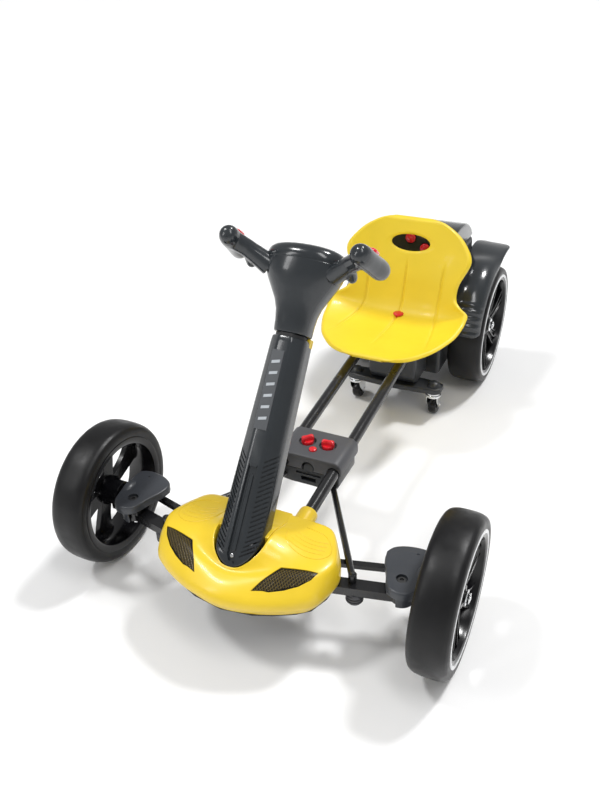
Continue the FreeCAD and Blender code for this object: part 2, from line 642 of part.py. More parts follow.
# ---- rear unit: two tubes, the pedestal, the drive box and its lid
tube = cut(rod("tube_r", along_tube("tube_front"), along_tube("tube_back")),
           rod("tube_r - 1.5", along_tube("tube_front - 5"), along_tube("tube_back + 5")))
mirrored(stand(tube, "frame_tube_right"), "frame_tube_left")
rear_tubes = [rod("tube_r", along_tube("500", sign), along_tube("tube_back", sign)) for sign in ("", "-")]
pedestal = cut(
    fuse(block(("-pedestal_half", "pedestal_y", "cross_top - 4"), ("pedestal_half", "box_front", "pedestal_top")),
         block(("-102", "caster_y - trail - 18", "cross_low"), ("102", "caster_y - trail + 18", "cross_top"))),
    *rear_tubes, post("5 + fit_gap", "caster_x", "caster_y - trail", "50", "66"),
    post("5 + fit_gap", "-caster_x", "caster_y - trail", "50", "66"))
stand(pedestal, "caster_beam")


def side_profile(label, points, low_x, high_x):
    """A body drawn in the side view and padded across the kart."""
    owner = body(label)
    drawing = sketch(owner, "side", "YZ_Plane", low_x)
    polygon(drawing, points)
    return owner, pad(owner, drawing, f"({high_x}) - ({low_x})")


housing_line = [("box_front", "box_low"), ("868", "box_low"), ("872", "180"), ("850", "box_split"),
                ("690", "box_split"), ("676", "235"), ("box_front", "190")]
housing_body, housing_pad = side_profile("Housing", housing_line, "-box_half", "box_half")
round_edges(housing_body, housing_pad, "6",
            lambda edge: abs(abs(edge.CenterOfMass.x) - 76) < 0.1 and edge.CenterOfMass.z < 299)
room_line = [("box_front + box_wall", "box_low + box_wall"), ("868 - box_wall", "box_low + box_wall"),
             ("872 - box_wall", "180"), ("850 - box_wall", "box_split + 1"), ("694", "box_split + 1"),
             ("680", "237"), ("box_front + box_wall", "193")]
room_body, room_pad = side_profile("Room", room_line, "box_wall - box_half", "box_half - box_wall")
axle_hole = rod("axle_r", ("-100", "wheelbase", "rear_z"), ("100", "wheelbase", "rear_z"))
stand(cut(housing_body, room_body, axle_hole), "rear_housing")
lid_line = [("690", "box_split"), ("850", "box_split"), ("832", "322"), ("800", "341"), ("760", "352"),
            ("706", "355"), ("690", "350")]
top_body, top_pad = side_profile("TopLid", lid_line, "-box_half", "box_half")
round_edges(top_body, top_pad, "9",
            lambda edge: abs(abs(edge.CenterOfMass.x) - 76) < 0.1 and edge.CenterOfMass.z > 301)
hollow_line = [("696", "box_split - 1"), ("844", "box_split - 1"), ("827", "318"), ("797", "336"),
               ("759", "346.5"), ("708", "349.5"), ("696", "346")]
hollow_body, hollow_pad = side_profile("TopRoom", hollow_line, "box_wall - box_half", "box_half - box_wall")
button_places = {"drive_button_low": ("17", "317"), "drive_button_high": ("-14", "336")}
wells = [rod("10.8", (x, "680", z), (x, "694.5", z)) for x, z in button_places.values()]
button_walls = [rod("13", (x, "692", z), (x, "700", z)) for x, z in button_places.values()]
stand(cut(fuse(cut(top_body, hollow_body), *button_walls), *wells), "housing_lid")
for label, (x, z) in button_places.items():
    button = body(label)
    face = sketch(button, "face", "XZ_Plane", "-692")
    circle(face, x, z, "10.4")
    pressed = pad(button, face, "6")
    round_edges(button, pressed, "1.5", lambda edge: edge.CenterOfMass.y < 686.5)
    stand(button, label)
stand(fuse(block(("-58", "700", "150"), ("58", "835", "232")),
           block(("-30", "720", "232"), ("30", "800", "240"))), "battery_pack")
axle_nuts = [rod("11", (f"{sign}(rear_track + 25.5)", "wheelbase", "rear_z"),
                 (f"{sign}(rear_track + 33)", "wheelbase", "rear_z")) for sign in ("", "-")]
shaft_line = rod("axle_r", ("-rear_track - 30", "wheelbase", "rear_z"), ("rear_track + 30", "wheelbase", "rear_z"))
stand(fuse(shaft_line, *axle_nuts), "rear_axle")

# ---- fender: a guard that follows the tyre and flares out behind it
fender_angles = [166, 150, 130, 110, 94, 80, 66, 50]
tyre_r, wheel_y, wheel_z = size("rear_wheel_r"), size("wheelbase"), size("rear_z")


def fender_radius(angle):
    """Close to the tyre in front, and further out towards the tail."""
    tail = max(0, 125 - angle) / 75
    return tyre_r + 7 + 40 * tail ** 1.2


def fender_point(angle, extra):
    turn = math.radians(angle)
    reach = fender_radius(angle) + extra
    return (size("fender_low_x"), wheel_y + reach * math.cos(turn), wheel_z + reach * math.sin(turn))


fender_outline = ([fender_point(angle, 0) for angle in fender_angles]
                  + [fender_point(angle, size("fender_t")) for angle in reversed(fender_angles)])
fender_width = size("fender_high_x") - size("fender_low_x")
fender_shape = Part.Face(closed_wire(fender_outline)).extrude(Vector(fender_width, 0, 0))
mirrored(stand(shape_feature("fender", fender_shape), "fender_right"), "fender_left")

# ---- seat: one moulded bucket, drawn as sections from its front lip to the top of its back.
# Each row is y, z, half width, rim rise, and how far the section leans towards the back's plane.
seat_rows = [(412, 212, 40, 2, 0), (424, 210, 66, 4, 0), (441, 208.5, 89, 8, 0), (468, 207, 110, 13, 0),
             (515, 206, 130, 18, 0), (575, 206.5, 138, 22, 8), (602, 214, 128, 24, 40),
             (613, 232, 113, 22, 68), (619, 262, 111, 20, 78), (632, 300, 124, 20, 72),
             (639, 322, 127, 18, 71), (645, 341, 117, 14, 71), (652, 362, 98, 9, 71),
             (661, 388, 54, 3, 71)]
seat_spread = (-1, -0.9, -0.72, -0.45, 0, 0.45, 0.72, 0.9, 1)
seat_t = size("seat_t")


def seat_section(y, z, half, rise, lean_angle):
    turn = math.radians(lean_angle)
    inward = Vector(0, -math.sin(turn), math.cos(turn))
    upper = [Vector(half * place, y, z) + inward * (rise * abs(place) ** 3) for place in seat_spread]
    lower = [point - inward * seat_t for point in upper]
    return closed_wire([tuple(point) for point in upper + lower[::-1]])


seat_solid = Part.makeLoft([seat_section(*values) for values in seat_rows], True, True)
hand_hole = (Part.makeCylinder(16, 80, Vector(-24, 600, 344), Vector(0, 1, 0))
             .fuse(Part.makeCylinder(16, 80, Vector(24, 600, 344), Vector(0, 1, 0)))
             .fuse(Part.makeBox(48, 80, 32, Vector(-24, 600, 328))))
plug_hole = Part.makeCylinder(8, 30, Vector(0, 590, 195))
stand(shape_feature("seat", seat_solid.cut(hand_hole).cut(plug_hole)), "seat")
stand(fuse(post("8", "0", "590", "pedestal_top", "212"), post("10.5", "0", "590", "212.5", "215")), "seat_plug")

# ---- casters
swivel_y = "caster_y - trail"
fork = fuse(
    post("5", "caster_x", swivel_y, "46", "65"), post("17", "caster_x", swivel_y, "46", "50"),
    post("14", "caster_x", swivel_y, "50", "57"),
    block(("caster_x - 12.5", "caster_y - trail - 8", "14"), ("caster_x - 10", "caster_y + 6", "47")),
    block(("caster_x + 10", "caster_y - trail - 8", "14"), ("caster_x + 12.5", "caster_y + 6", "47")),
    rod("3", ("caster_x - 13.5", "caster_y", "caster_r"), ("caster_x + 13.5", "caster_y", "caster_r")))
mirrored(stand(fork, "caster_fork_right"), "caster_fork_left")
roller = body("roller")
roller_plan = sketch(roller, "plan", lift="-caster_w / 2")
circle(roller_plan, "0", "0", "caster_r")
roller_pad = pad(roller, roller_plan, "caster_w")
round_edges(roller, roller_pad, "4", lambda edge: isinstance(edge.Curve, Part.Circle))
roller_bore = sketch(roller, "bore", lift="-caster_w / 2")
circle(roller_bore, "0", "0", "3 + fit_gap")
pocket(roller, roller_bore, "caster_w")
mirrored(on_axle(roller, "caster_wheel_right", "caster_x", "caster_y", "caster_r"), "caster_wheel_left")

# ---- check everything, then write one file for each sub-part
doc.recompute()
for item in doc.Objects:
    if "Invalid" in item.State or "Error" in item.State:
        raise ValueError(f"{item.Label} failed: {item.State}")
os.makedirs("parts", exist_ok=True)
for item in nodes:
    if item.Shape.isNull() or not item.Shape.isValid() or not item.Shape.Solids:
        raise ValueError(f"{item.Label} has no valid solid")
    item.Shape.exportStep(f"parts/{item.Label}.step")
whole = nodes[0].Shape.BoundBox
for item in nodes[1:]:
    whole.add(item.Shape.BoundBox)
print(len(nodes), "sub-parts; box", [round(value, 2) for value in
      (whole.XMin, whole.XMax, whole.YMin, whole.YMax, whole.ZMin, whole.ZMax)])
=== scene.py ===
import json
import math
import bmesh
import bpy
from mathutils import Matrix, Vector
from mathutils.bvhtree import BVHTree


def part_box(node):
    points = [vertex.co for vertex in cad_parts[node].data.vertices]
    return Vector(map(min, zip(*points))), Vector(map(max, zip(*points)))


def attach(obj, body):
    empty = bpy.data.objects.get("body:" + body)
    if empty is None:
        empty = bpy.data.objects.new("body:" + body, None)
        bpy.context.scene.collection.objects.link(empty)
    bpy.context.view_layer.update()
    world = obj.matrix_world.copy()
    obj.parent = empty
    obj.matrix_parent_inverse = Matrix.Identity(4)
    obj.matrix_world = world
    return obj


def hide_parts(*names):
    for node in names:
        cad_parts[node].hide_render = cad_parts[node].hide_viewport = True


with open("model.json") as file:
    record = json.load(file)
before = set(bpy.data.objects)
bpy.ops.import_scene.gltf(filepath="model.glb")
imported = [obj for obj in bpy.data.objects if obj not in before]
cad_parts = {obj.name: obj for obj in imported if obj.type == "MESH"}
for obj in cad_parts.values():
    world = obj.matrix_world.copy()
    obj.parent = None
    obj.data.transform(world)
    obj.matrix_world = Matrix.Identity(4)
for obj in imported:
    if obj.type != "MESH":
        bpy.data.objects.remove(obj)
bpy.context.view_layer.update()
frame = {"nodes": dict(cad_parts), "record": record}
record = frame["record"]
joints = {joint["name"]: joint for joint in record["behaviour"]["joints"]}
sides = {"left": -1, "right": 1}
mm = 0.001
xAxis, yAxis, zAxis = Vector((1, 0, 0)), Vector((0, 1, 0)), Vector((0, 0, 1))


# puts a mesh, curve, lamp or camera in the scene
def placed(name, data):
    made = bpy.data.objects.new(name, data)
    bpy.context.collection.objects.link(made)
    return made


def boxMiddle(node):
    low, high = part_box(node)
    return (low + high) / 2


frontWheelAt = boxMiddle("front_tyre_right")
rearWheelAt = boxMiddle("rear_tyre_right")
columnBase = Vector(joints["steering_turn"]["pos_m"])
columnUp = Vector(joints["steering_turn"]["axis"])
columnRear = columnUp.cross(xAxis)


# a place in millimetres, with y counted back from the front axle
def kartPoint(x, y, z):
    return Vector((x * mm, frontWheelAt.y + y * mm, z * mm))


# a place in millimetres in the leaning column: across, rearward and along it
def columnPoint(x, y, up):
    return columnBase + Vector((x * mm, 0, 0)) + columnRear * (y * mm) + columnUp * (up * mm)


# finishes
def nodeOf(tree, kind, **values):
    made = tree.nodes.new(kind)
    for name, value in values.items():
        setattr(made, name, value)
    return made


def setSockets(node, values):
    for name, value in values.items():
        node.inputs[name].default_value = value


def link(tree, source, output, target, socket):
    tree.links.new(source.outputs[output], target.inputs[socket])


def noiseFrom(tree, coordinates, scale, detail=3.0, rough=0.5):
    noise = nodeOf(tree, "ShaderNodeTexNoise")
    setSockets(noise, {"Scale": scale, "Detail": detail, "Roughness": rough})
    link(tree, coordinates, "Object", noise, "Vector")
    return noise


def rangeFrom(tree, source, output, low, high, fromLow=0.3, fromHigh=0.7):
    made = nodeOf(tree, "ShaderNodeMapRange")
    setSockets(made, {"From Min": fromLow, "From Max": fromHigh, "To Min": low, "To Max": high})
    link(tree, source, output, made, "Value")
    return made


# moulded or painted finish: soft tone changes, uneven gloss, fine grain and a slow ripple
def finish(name, colour, rough, roughSpread=0.05, tone=0.06, grain=900, grainDepth=0.00002,
           wave=(14, 0.0002), metal=0.0, coat=0.0, edgeLight=0.0, specular=0.5):
    material = bpy.data.materials.new(name)
    material.use_nodes = True
    tree = material.node_tree
    shader = tree.nodes["Principled BSDF"]
    coordinates = nodeOf(tree, "ShaderNodeTexCoord")
    setSockets(shader, {"Metallic": metal, "Coat Weight": coat, "Coat Roughness": 0.08,
                        "Specular IOR Level": specular})
    patch = noiseFrom(tree, coordinates, 18, 4)
    mix = nodeOf(tree, "ShaderNodeMix", data_type="RGBA")
    setSockets(mix, {"A": (*[value * (1 - tone) for value in colour], 1),
                     "B": (*[min(1, value * (1 + tone)) for value in colour], 1)})
    spread = rangeFrom(tree, patch, "Fac", 0, 1)
    link(tree, spread, "Result", mix, "Factor")
    last = mix
    if edgeLight:
        edge = nodeOf(tree, "ShaderNodeNewGeometry")
        worn = rangeFrom(tree, edge, "Pointiness", 0, edgeLight, 0.52, 0.6)
        wornMix = nodeOf(tree, "ShaderNodeMix", data_type="RGBA")
        wornMix.inputs["B"].default_value = (*[min(1, value * 1.9 + 0.03) for value in colour], 1)
        link(tree, mix, "Result", wornMix, "A")
        link(tree, worn, "Result", wornMix, "Factor")
        last = wornMix
    link(tree, last, "Result", shader, "Base Color")
    smear = noiseFrom(tree, coordinates, 55, 5, 0.6)
    gloss = rangeFrom(tree, smear, "Fac", rough - roughSpread, rough + roughSpread)
    link(tree, gloss, "Result", shader, "Roughness")
    fine = noiseFrom(tree, coordinates, grain, 2)
    fineBump = nodeOf(tree, "ShaderNodeBump")
    fineBump.inputs["Distance"].default_value = grainDepth
    link(tree, fine, "Fac", fineBump, "Height")
    slow = noiseFrom(tree, coordinates, wave[0], 1)
    slowBump = nodeOf(tree, "ShaderNodeBump")
    slowBump.inputs["Distance"].default_value = wave[1]
    link(tree, slow, "Fac", slowBump, "Height")
    link(tree, slowBump, "Normal", fineBump, "Normal")
    link(tree, fineBump, "Normal", shader, "Normal")
    return material


# fine turned lines round a wheel's axle, added under the grain
def ringLines(material, centre, scale, depth):
    tree = material.node_tree
    coordinates = [item for item in tree.nodes if item.type == "TEX_COORD"][0]
    place = nodeOf(tree, "ShaderNodeMapping")
    place.inputs["Location"].default_value = (-centre.x, -centre.y, -centre.z)
    wave = nodeOf(tree, "ShaderNodeTexWave", wave_type="RINGS", rings_direction="X")
    setSockets(wave, {"Scale": scale, "Distortion": 0.0})
    bump = nodeOf(tree, "ShaderNodeBump")
    bump.inputs["Distance"].default_value = depth
    slow = [item for item in tree.nodes if item.type == "BUMP" and not item.inputs["Normal"].is_linked][0]
    link(tree, coordinates, "Object", place, "Vector")
    link(tree, place, "Vector", wave, "Vector")
    link(tree, wave, "Fac", bump, "Height")
    link(tree, bump, "Normal", slow, "Normal")


# dark amber lamp glass over a fine woven grid
def meshFinish(name, threads):
    material = finish(name, (0.20, 0.14, 0.035), 0.26, coat=0.25, grain=1500, specular=0.35)
    tree = material.node_tree
    shader = tree.nodes["Principled BSDF"]
    coordinates = [item for item in tree.nodes if item.type == "TEX_COORD"][0]
    highest = None
    for turn in (0.6, -0.75):
        place = nodeOf(tree, "ShaderNodeMapping")
        place.inputs["Rotation"].default_value = (0, 0, turn)
        link(tree, coordinates, "Object", place, "Vector")
        wave = nodeOf(tree, "ShaderNodeTexWave", bands_direction="X")
        wave.inputs["Scale"].default_value = threads
        link(tree, place, "Vector", wave, "Vector")
        if highest:
            join = nodeOf(tree, "ShaderNodeMath", operation="MAXIMUM")
            tree.links.new(highest.outputs["Fac"], join.inputs[0])
            tree.links.new(wave.outputs["Fac"], join.inputs[1])
            highest = join
        else:
            highest = wave
    ramp = nodeOf(tree, "ShaderNodeMapRange")
    setSockets(ramp, {"From Min": 0.72, "From Max": 0.95})
    tree.links.new(highest.outputs[0], ramp.inputs["Value"])
    mix = nodeOf(tree, "ShaderNodeMix", data_type="RGBA")
    setSockets(mix, {"A": (0.012, 0.009, 0.003, 1), "B": (0.10, 0.07, 0.015, 1)})
    link(tree, ramp, "Result", mix, "Factor")
    link(tree, mix, "Result", shader, "Base Color")
    bump = nodeOf(tree, "ShaderNodeBump")
    bump.inputs["Distance"].default_value = 0.0004
    link(tree, ramp, "Result", bump, "Height")
    link(tree, bump, "Normal", shader, "Normal")
    return material


yellowGloss = finish("yellowGloss", (0.80, 0.56, 0.022), 0.34, tone=0.03, coat=0.14, grain=700)
seatYellow = finish("seatYellow", (0.84, 0.615, 0.02), 0.46, tone=0.03, coat=0.1, grain=1100,
                    grainDepth=0.00004)
graphite = finish("graphite", (0.021, 0.025, 0.029), 0.2, tone=0.1, coat=0.4, wave=(22, 0.0004), specular=0.4)
greyCase = finish("greyCase", (0.062, 0.063, 0.069), 0.5, tone=0.07, grain=1400, grainDepth=0.00008,
                  edgeLight=0.25)
darkCase = finish("darkCase", (0.02, 0.022, 0.025), 0.4, tone=0.08, grain=1300,
                  grainDepth=0.00006, edgeLight=0.2)
kneeGrey = finish("kneeGrey", (0.042, 0.046, 0.054), 0.36, tone=0.07, grain=1200, grainDepth=0.00005,
                  edgeLight=0.2)
blackSteel = finish("blackSteel", (0.007, 0.007, 0.008), 0.24, tone=0.2, coat=0.3, grain=420,
                    grainDepth=0.00006, edgeLight=0.06, specular=0.42)
wheelBlack = finish("wheelBlack", (0.004, 0.004, 0.005), 0.2, tone=0.15, grain=900, specular=0.35)
redGloss = finish("redGloss", (0.70, 0.014, 0.024), 0.24, tone=0.05, coat=0.3, grain=800)
chrome = finish("chrome", (0.78, 0.79, 0.80), 0.1, tone=0.04, metal=1.0, grain=500)
ringSilver = finish("ringSilver", (0.74, 0.75, 0.76), 0.3, tone=0.05, grain=900)
softBlack = finish("softBlack", (0.02, 0.02, 0.021), 0.6, tone=0.15, grain=1500, grainDepth=0.0001)
labelGrey = finish("labelGrey", (0.055, 0.06, 0.067), 0.32, tone=0.05, grain=1600)
printGrey = finish("printGrey", (0.42, 0.45, 0.48), 0.4, tone=0.05, grain=1600)
lampGlass = meshFinish("lampGlass", 95)
print("finishes ready")


# mesh helpers
# makes a finished bmesh an object that rides on a body
def pieceFrom(mesh, name, body, material, replaced=(), shadeAngle=35):
    data = bpy.data.meshes.new(name)
    bmesh.ops.remove_doubles(mesh, verts=mesh.verts, dist=1e-6)
    bmesh.ops.recalc_face_normals(mesh, faces=mesh.faces)
    for face in mesh.faces:
        face.smooth = True
    mesh.to_mesh(data)
    mesh.free()
    made = placed(name, data)
    data.materials.append(material)
    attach(made, body)
    if replaced:
        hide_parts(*replaced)
    if shadeAngle:
        data.set_sharp_from_angle(angle=math.radians(shadeAngle))
    return made


def addBevel(piece, width, segments=3, angle=35):
    made = piece.modifiers.new("roundedEdges", "BEVEL")
    made.width = width * mm
    made.segments = segments
    made.limit_method = "ANGLE"
    made.angle_limit = math.radians(angle)


def addSubdivision(piece, levels=1):
    made = piece.modifiers.new("smoother", "SUBSURF")
    made.levels = levels
    made.render_levels = levels


def addWall(piece, thickness, offset=-1.0):
    made = piece.modifiers.new("wall", "SOLIDIFY")
    made.thickness = thickness * mm
    made.offset = offset
    made.use_even_offset = True


# takes the modifiers into the mesh
def applied(piece):
    graph = bpy.context.evaluated_depsgraph_get()
    graph.update()
    data = bpy.data.meshes.new_from_object(piece.evaluated_get(graph))
    old = piece.data
    piece.modifiers.clear()
    piece.data = data
    bpy.data.meshes.remove(old)
    return piece


# cuts a piece with scratch objects, which are then removed
def cutWith(piece, tools, operation="DIFFERENCE"):
    for tool in tools:
        made = piece.modifiers.new("cutter", "BOOLEAN")
        made.operation = operation
        made.solver = "EXACT"
        made.object = tool
    applied(piece)
    for tool in tools:
        bpy.data.objects.remove(tool)
    return piece


def scratch(mesh):
    data = bpy.data.meshes.new("scratch")
    bmesh.ops.recalc_face_normals(mesh, faces=mesh.faces)
    mesh.to_mesh(data)
    mesh.free()
    made = placed("scratch", data)
    return made


# one finish all over, smooth except at edges past the angle
def smoothed(piece, material, shadeAngle):
    piece.data.materials.clear()
    piece.data.materials.append(material)
    for face in piece.data.polygons:
        face.use_smooth = True
        face.material_index = 0
    piece.data.set_sharp_from_angle(angle=math.radians(shadeAngle))


# turns a scratch object into a finished piece
def dressed(piece, name, body, material, replaced=(), shadeAngle=40):
    piece.name = name
    smoothed(piece, material, shadeAngle)
    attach(piece, body)
    if replaced:
        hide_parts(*replaced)
    return piece


# cuts a finished piece with a mesh and smooths it again
def carve(piece, mesh, shadeAngle):
    material = piece.data.materials[0]
    cutWith(piece, [scratch(mesh)])
    smoothed(piece, material, shadeAngle)


def ringOf(mesh, points, closed=True):
    verts = [mesh.verts.new(point) for point in points]
    count = len(verts)
    for index in range(count if closed else count - 1):
        mesh.edges.new((verts[index], verts[(index + 1) % count]))
    return verts


# extrudes a ring of points from section to section
def loft(mesh, rings, closed=True, capped=True):
    verts = ringOf(mesh, rings[0], closed)
    first = verts
    for ring in rings[1:]:
        count = len(verts)
        edges = [mesh.edges.get((verts[index], verts[(index + 1) % count]))
                 for index in range(count if closed else count - 1)]
        grown = bmesh.ops.extrude_edge_only(mesh, edges=edges)["geom"]
        fresh = {item for item in grown if isinstance(item, bmesh.types.BMVert)}
        moved = []
        for vert, place in zip(verts, ring):
            other = [edge.other_vert(vert) for edge in vert.link_edges
                     if edge.other_vert(vert) in fresh][0]
            other.co = place
            moved.append(other)
        verts = moved
    if capped and closed:
        mesh.faces.new(first)
        mesh.faces.new(verts)


# turns a profile of (radius, along) millimetres into a full round shape
def spun(mesh, profile, centre, axis, across, steps=72):
    verts = ringOf(mesh, [centre + across * (radius * mm) + axis * (along * mm)
                          for radius, along in profile], closed=False)
    edges = [edge for vert in verts for edge in vert.link_edges]
    bmesh.ops.spin(mesh, geom=verts + list(dict.fromkeys(edges)), cent=centre, axis=axis,
                   angle=2 * math.pi, steps=steps, use_merge=True, use_duplicate=False)


# a capped cylinder or cone between two points, radii in millimetres
def tube(mesh, start, end, radius, segments=32, endRadius=None):
    span = end - start
    turn = span.to_track_quat("Z", "Y").to_matrix().to_4x4()
    place = Matrix.Translation((start + end) / 2) @ turn
    bmesh.ops.create_cone(mesh, cap_ends=True, segments=segments, radius1=radius * mm,
                          radius2=(radius if endRadius is None else endRadius) * mm,
                          depth=span.length, matrix=place)


# a block between two corners given in millimetres
def brick(mesh, low, high, place=kartPoint):
    middle = [(a + b) / 2 for a, b in zip(low, high)]
    made = bmesh.ops.create_cube(mesh, size=1.0)["verts"]
    for vert in made:
        vert.co = place(*[centre + part * (b - a) for centre, part, a, b in
                          zip(middle, vert.co, low, high)])


# extrudes an outline of (a, b) between two levels; place maps (a, b, level)
def prism(mesh, outline, low, high, place=kartPoint):
    loft(mesh, [[place(a, b, level) for a, b in outline] for level in (low, high)])


# the place a given part of the way along a smooth line through the points
def smoothLineAt(points, part):
    spans = len(points) - 1
    reach = min(max(part, 0), 1) * spans
    step = min(int(reach), spans - 1)
    inside = reach - step
    before, here = points[max(step - 1, 0)], points[step]
    after, beyond = points[step + 1], points[min(step + 2, spans)]
    return tuple(0.5 * (2 * b + (c - a) * inside + (2 * a - 5 * b + 4 * c - d) * inside ** 2
                        + (3 * b - a - 3 * c + d) * inside ** 3)
                 for a, b, c, d in zip(before, here, after, beyond))


def smoothLine(points, count):
    return [smoothLineAt(points, index / (count - 1)) for index in range(count)]


# wheels
frontWheel = {"radius": 114.95, "width": 56.9, "rimEdge": 96, "face": 21, "sideTop": 100, "full": 3.0,
              "opening": 83, "hubIn": -24, "hubOut": 18}
rearWheel = {"radius": 126.45, "width": 70, "rimEdge": 111, "face": 28, "sideTop": 113, "full": 3.4,
             "opening": 98, "hubIn": -30, "hubOut": 22}
spokeShape = {"count": 6, "rootWidth": 25, "waistWidth": 19, "tipWidth": 40, "sweep": 0.12, "thick": 10}


# half round shoulders that run into a slightly arched tread
def tyreProfile(sizes):
    half, top, base = sizes["width"] / 2, sizes["radius"], sizes["sideTop"]
    lower = sizes["rimEdge"] - 9
    line = [(lower, -half + 4), (sizes["rimEdge"] - 2, -half + 1.2), (sizes["rimEdge"] + 1.5, -half + 0.2)]
    power = 2 / sizes["full"]
    for index in range(33):
        turn = math.pi * index / 32
        along = -math.copysign(abs(math.cos(turn)) ** power, math.cos(turn)) * half
        line.append((base + (top - base) * math.sin(turn) ** power, along))
    line += [(sizes["rimEdge"] + 1.5, half - 0.2), (sizes["rimEdge"] - 2, half - 1.2), (lower, half - 4)]
    return line


def rimProfile(sizes):
    half, edge, opening = sizes["width"] / 2, sizes["rimEdge"], sizes["opening"]
    return [(edge - 9, -half + 4), (edge - 1, -half + 1.0), (edge - 1.5, -half + 0.1),
            (opening + 4, -half + 0.1), (opening + 1, -half + 2), (opening, -half + 6),
            (opening - 3, -half + 14), (opening - 4, 0), (opening - 3, half - 14), (opening, half - 6),
            (opening + 1, half - 2.4), (opening + 4, half - 0.7), (edge - 7, half - 0.5),
            (edge - 6.5, half - 1.6), (edge - 1, half - 1.6), (edge - 9, half - 4)]


# one broad, slightly swept spoke with a rib down its middle
def spoke(mesh, sizes, centre, axis, turn):
    inner, outer = 14, sizes["opening"] - 1
    rings = []
    for index in range(9):
        part = index / 8
        radius = inner + (outer - inner) * part
        width = (spokeShape["rootWidth"] * (1 - part) ** 2 + 2 * spokeShape["waistWidth"] * part * (1 - part)
                 + spokeShape["tipWidth"] * part ** 2)
        angle = turn + spokeShape["sweep"] * part * part
        across = Vector((0, math.cos(angle), math.sin(angle)))
        side = axis.cross(across)
        face = sizes["hubOut"] - 3 + (sizes["face"] - sizes["hubOut"] + 3) * part ** 0.7
        thick = spokeShape["thick"]
        at = centre + across * (radius * mm)
        section = [(-width, face - thick), (-width, face - 1), (-width + 5, face - 0.6),
                   (-width + 7, face - 4), (-4.5, face - 4.4), (-3, face), (3, face), (4.5, face - 4.4),
                   (width - 7, face - 4), (width - 5, face - 0.6), (width, face - 1), (width, face - thick)]
        rings.append([at + side * (a * 0.5 * mm) + axis * (b * mm) for a, b in section])
    loft(mesh, rings)


def makeWheel(prefix, side, sizes, centre):
    sign = sides[side]
    axis = Vector((sign, 0, 0))
    body = f"{prefix}_wheel_{side}"
    rubber = finish(f"{prefix}Rubber{side}", (0.005, 0.005, 0.0056), 0.4, roughSpread=0.08, tone=0.2,
                    specular=0.3, grain=1300, grainDepth=0.00005, wave=(20, 0.0006), edgeLight=0.05)
    ringLines(rubber, centre, 110, 0.00008)
    mesh = bmesh.new()
    spun(mesh, tyreProfile(sizes), centre, axis, zAxis, 112)
    pieceFrom(mesh, f"{prefix}Tyre_{side}", body, rubber, [f"{prefix}_tyre_{side}"], 50)
    mesh = bmesh.new()
    spun(mesh, rimProfile(sizes), centre, axis, zAxis, 96)
    hubIn, hubOut = sizes["hubIn"], sizes["hubOut"]
    spun(mesh, [(8.4, hubIn), (19, hubIn), (20, hubIn + 1), (20, -6), (24, 0), (24, hubOut - 6),
                (22.5, hubOut - 3), (17, hubOut - 1), (16, hubOut + 1), (11, hubOut + 2), (8.4, hubOut + 2)],
         centre, axis, zAxis, 48)
    for index in range(spokeShape["count"]):
        spoke(mesh, sizes, centre, axis, index * 2 * math.pi / spokeShape["count"] + 0.2)
    rim = pieceFrom(mesh, f"{prefix}Rim_{side}", body, wheelBlack,
                    [f"{prefix}_rim_{side}"], 40)
    addBevel(rim, 0.9, 2, 50)
    mesh = bmesh.new()
    half, edge = sizes["width"] / 2, sizes["rimEdge"]
    spun(mesh, [(edge - 6.4, half - 2), (edge - 6.2, half - 0.2), (edge - 5.6, half - 0.1),
                (edge - 1.4, half - 0.1), (edge - 0.6, half - 0.3), (edge - 0.6, half - 2),
                (edge - 6.4, half - 2)], centre, axis, zAxis, 112)
    pieceFrom(mesh, f"{prefix}Ring_{side}", body, ringSilver)


for side in sides:
    for prefix, sizes, place in (("front", frontWheel, frontWheelAt), ("rear", rearWheel, rearWheelAt)):
        makeWheel(prefix, side, sizes, Vector((abs(place.x) * sides[side], place.y, place.z)))
print("wheels ready")

# seat
seatShape = {"rows": [(411, 212, 30, 1, 0), (414, 211, 52, 2, 0), (424, 209.5, 74, 4, 0),
                      (441, 208.5, 94, 8, 0), (468, 207.5, 114, 13, 0), (515, 206.6, 132, 18, 0),
                      (550, 207.6, 138, 23, 5), (574, 210.4, 140, 28, 13), (590, 215, 140, 32, 26),
                      (601, 222.6, 135, 33, 40), (609.5, 234, 123, 30, 54), (615.5, 249, 112, 24, 66),
                      (620, 265, 109, 20, 74), (624, 282, 111, 18, 76), (630, 300, 119, 18, 74),
                      (637, 319, 126.5, 17, 72), (643, 335, 123, 14, 71), (650, 356, 107, 9, 71),
                      (655, 371, 89, 6, 71), (659.6, 385, 62, 3, 71), (661.5, 390.4, 36, 2, 71)],
             "across": 184, "along": 132, "thick": 4.6, "rollWidth": 9, "roll": 7, "holeHalf": (39, 16),
             "holeAt": 344, "grooveDepth": 3.0}


def seatRow(part):
    return smoothLineAt(seatShape["rows"], part)


# arc length along the middle line, so that the grid's rows are evenly spaced
seatLine = [(0.0, 0.0)]
lastPlace = seatRow(0)
for index in range(1, 401):
    row = seatRow(index / 400)
    gone = math.hypot(row[0] - lastPlace[0], row[1] - lastPlace[1])
    seatLine.append((seatLine[-1][0] + gone, index / 400))
    lastPlace = row
seatLength = seatLine[-1][0]


def partAt(length):
    for (low, partLow), (high, partHigh) in zip(seatLine, seatLine[1:]):
        if length <= high:
            return partLow + (partHigh - partLow) * (length - low) / max(high - low, 1e-9)
    return 1.0


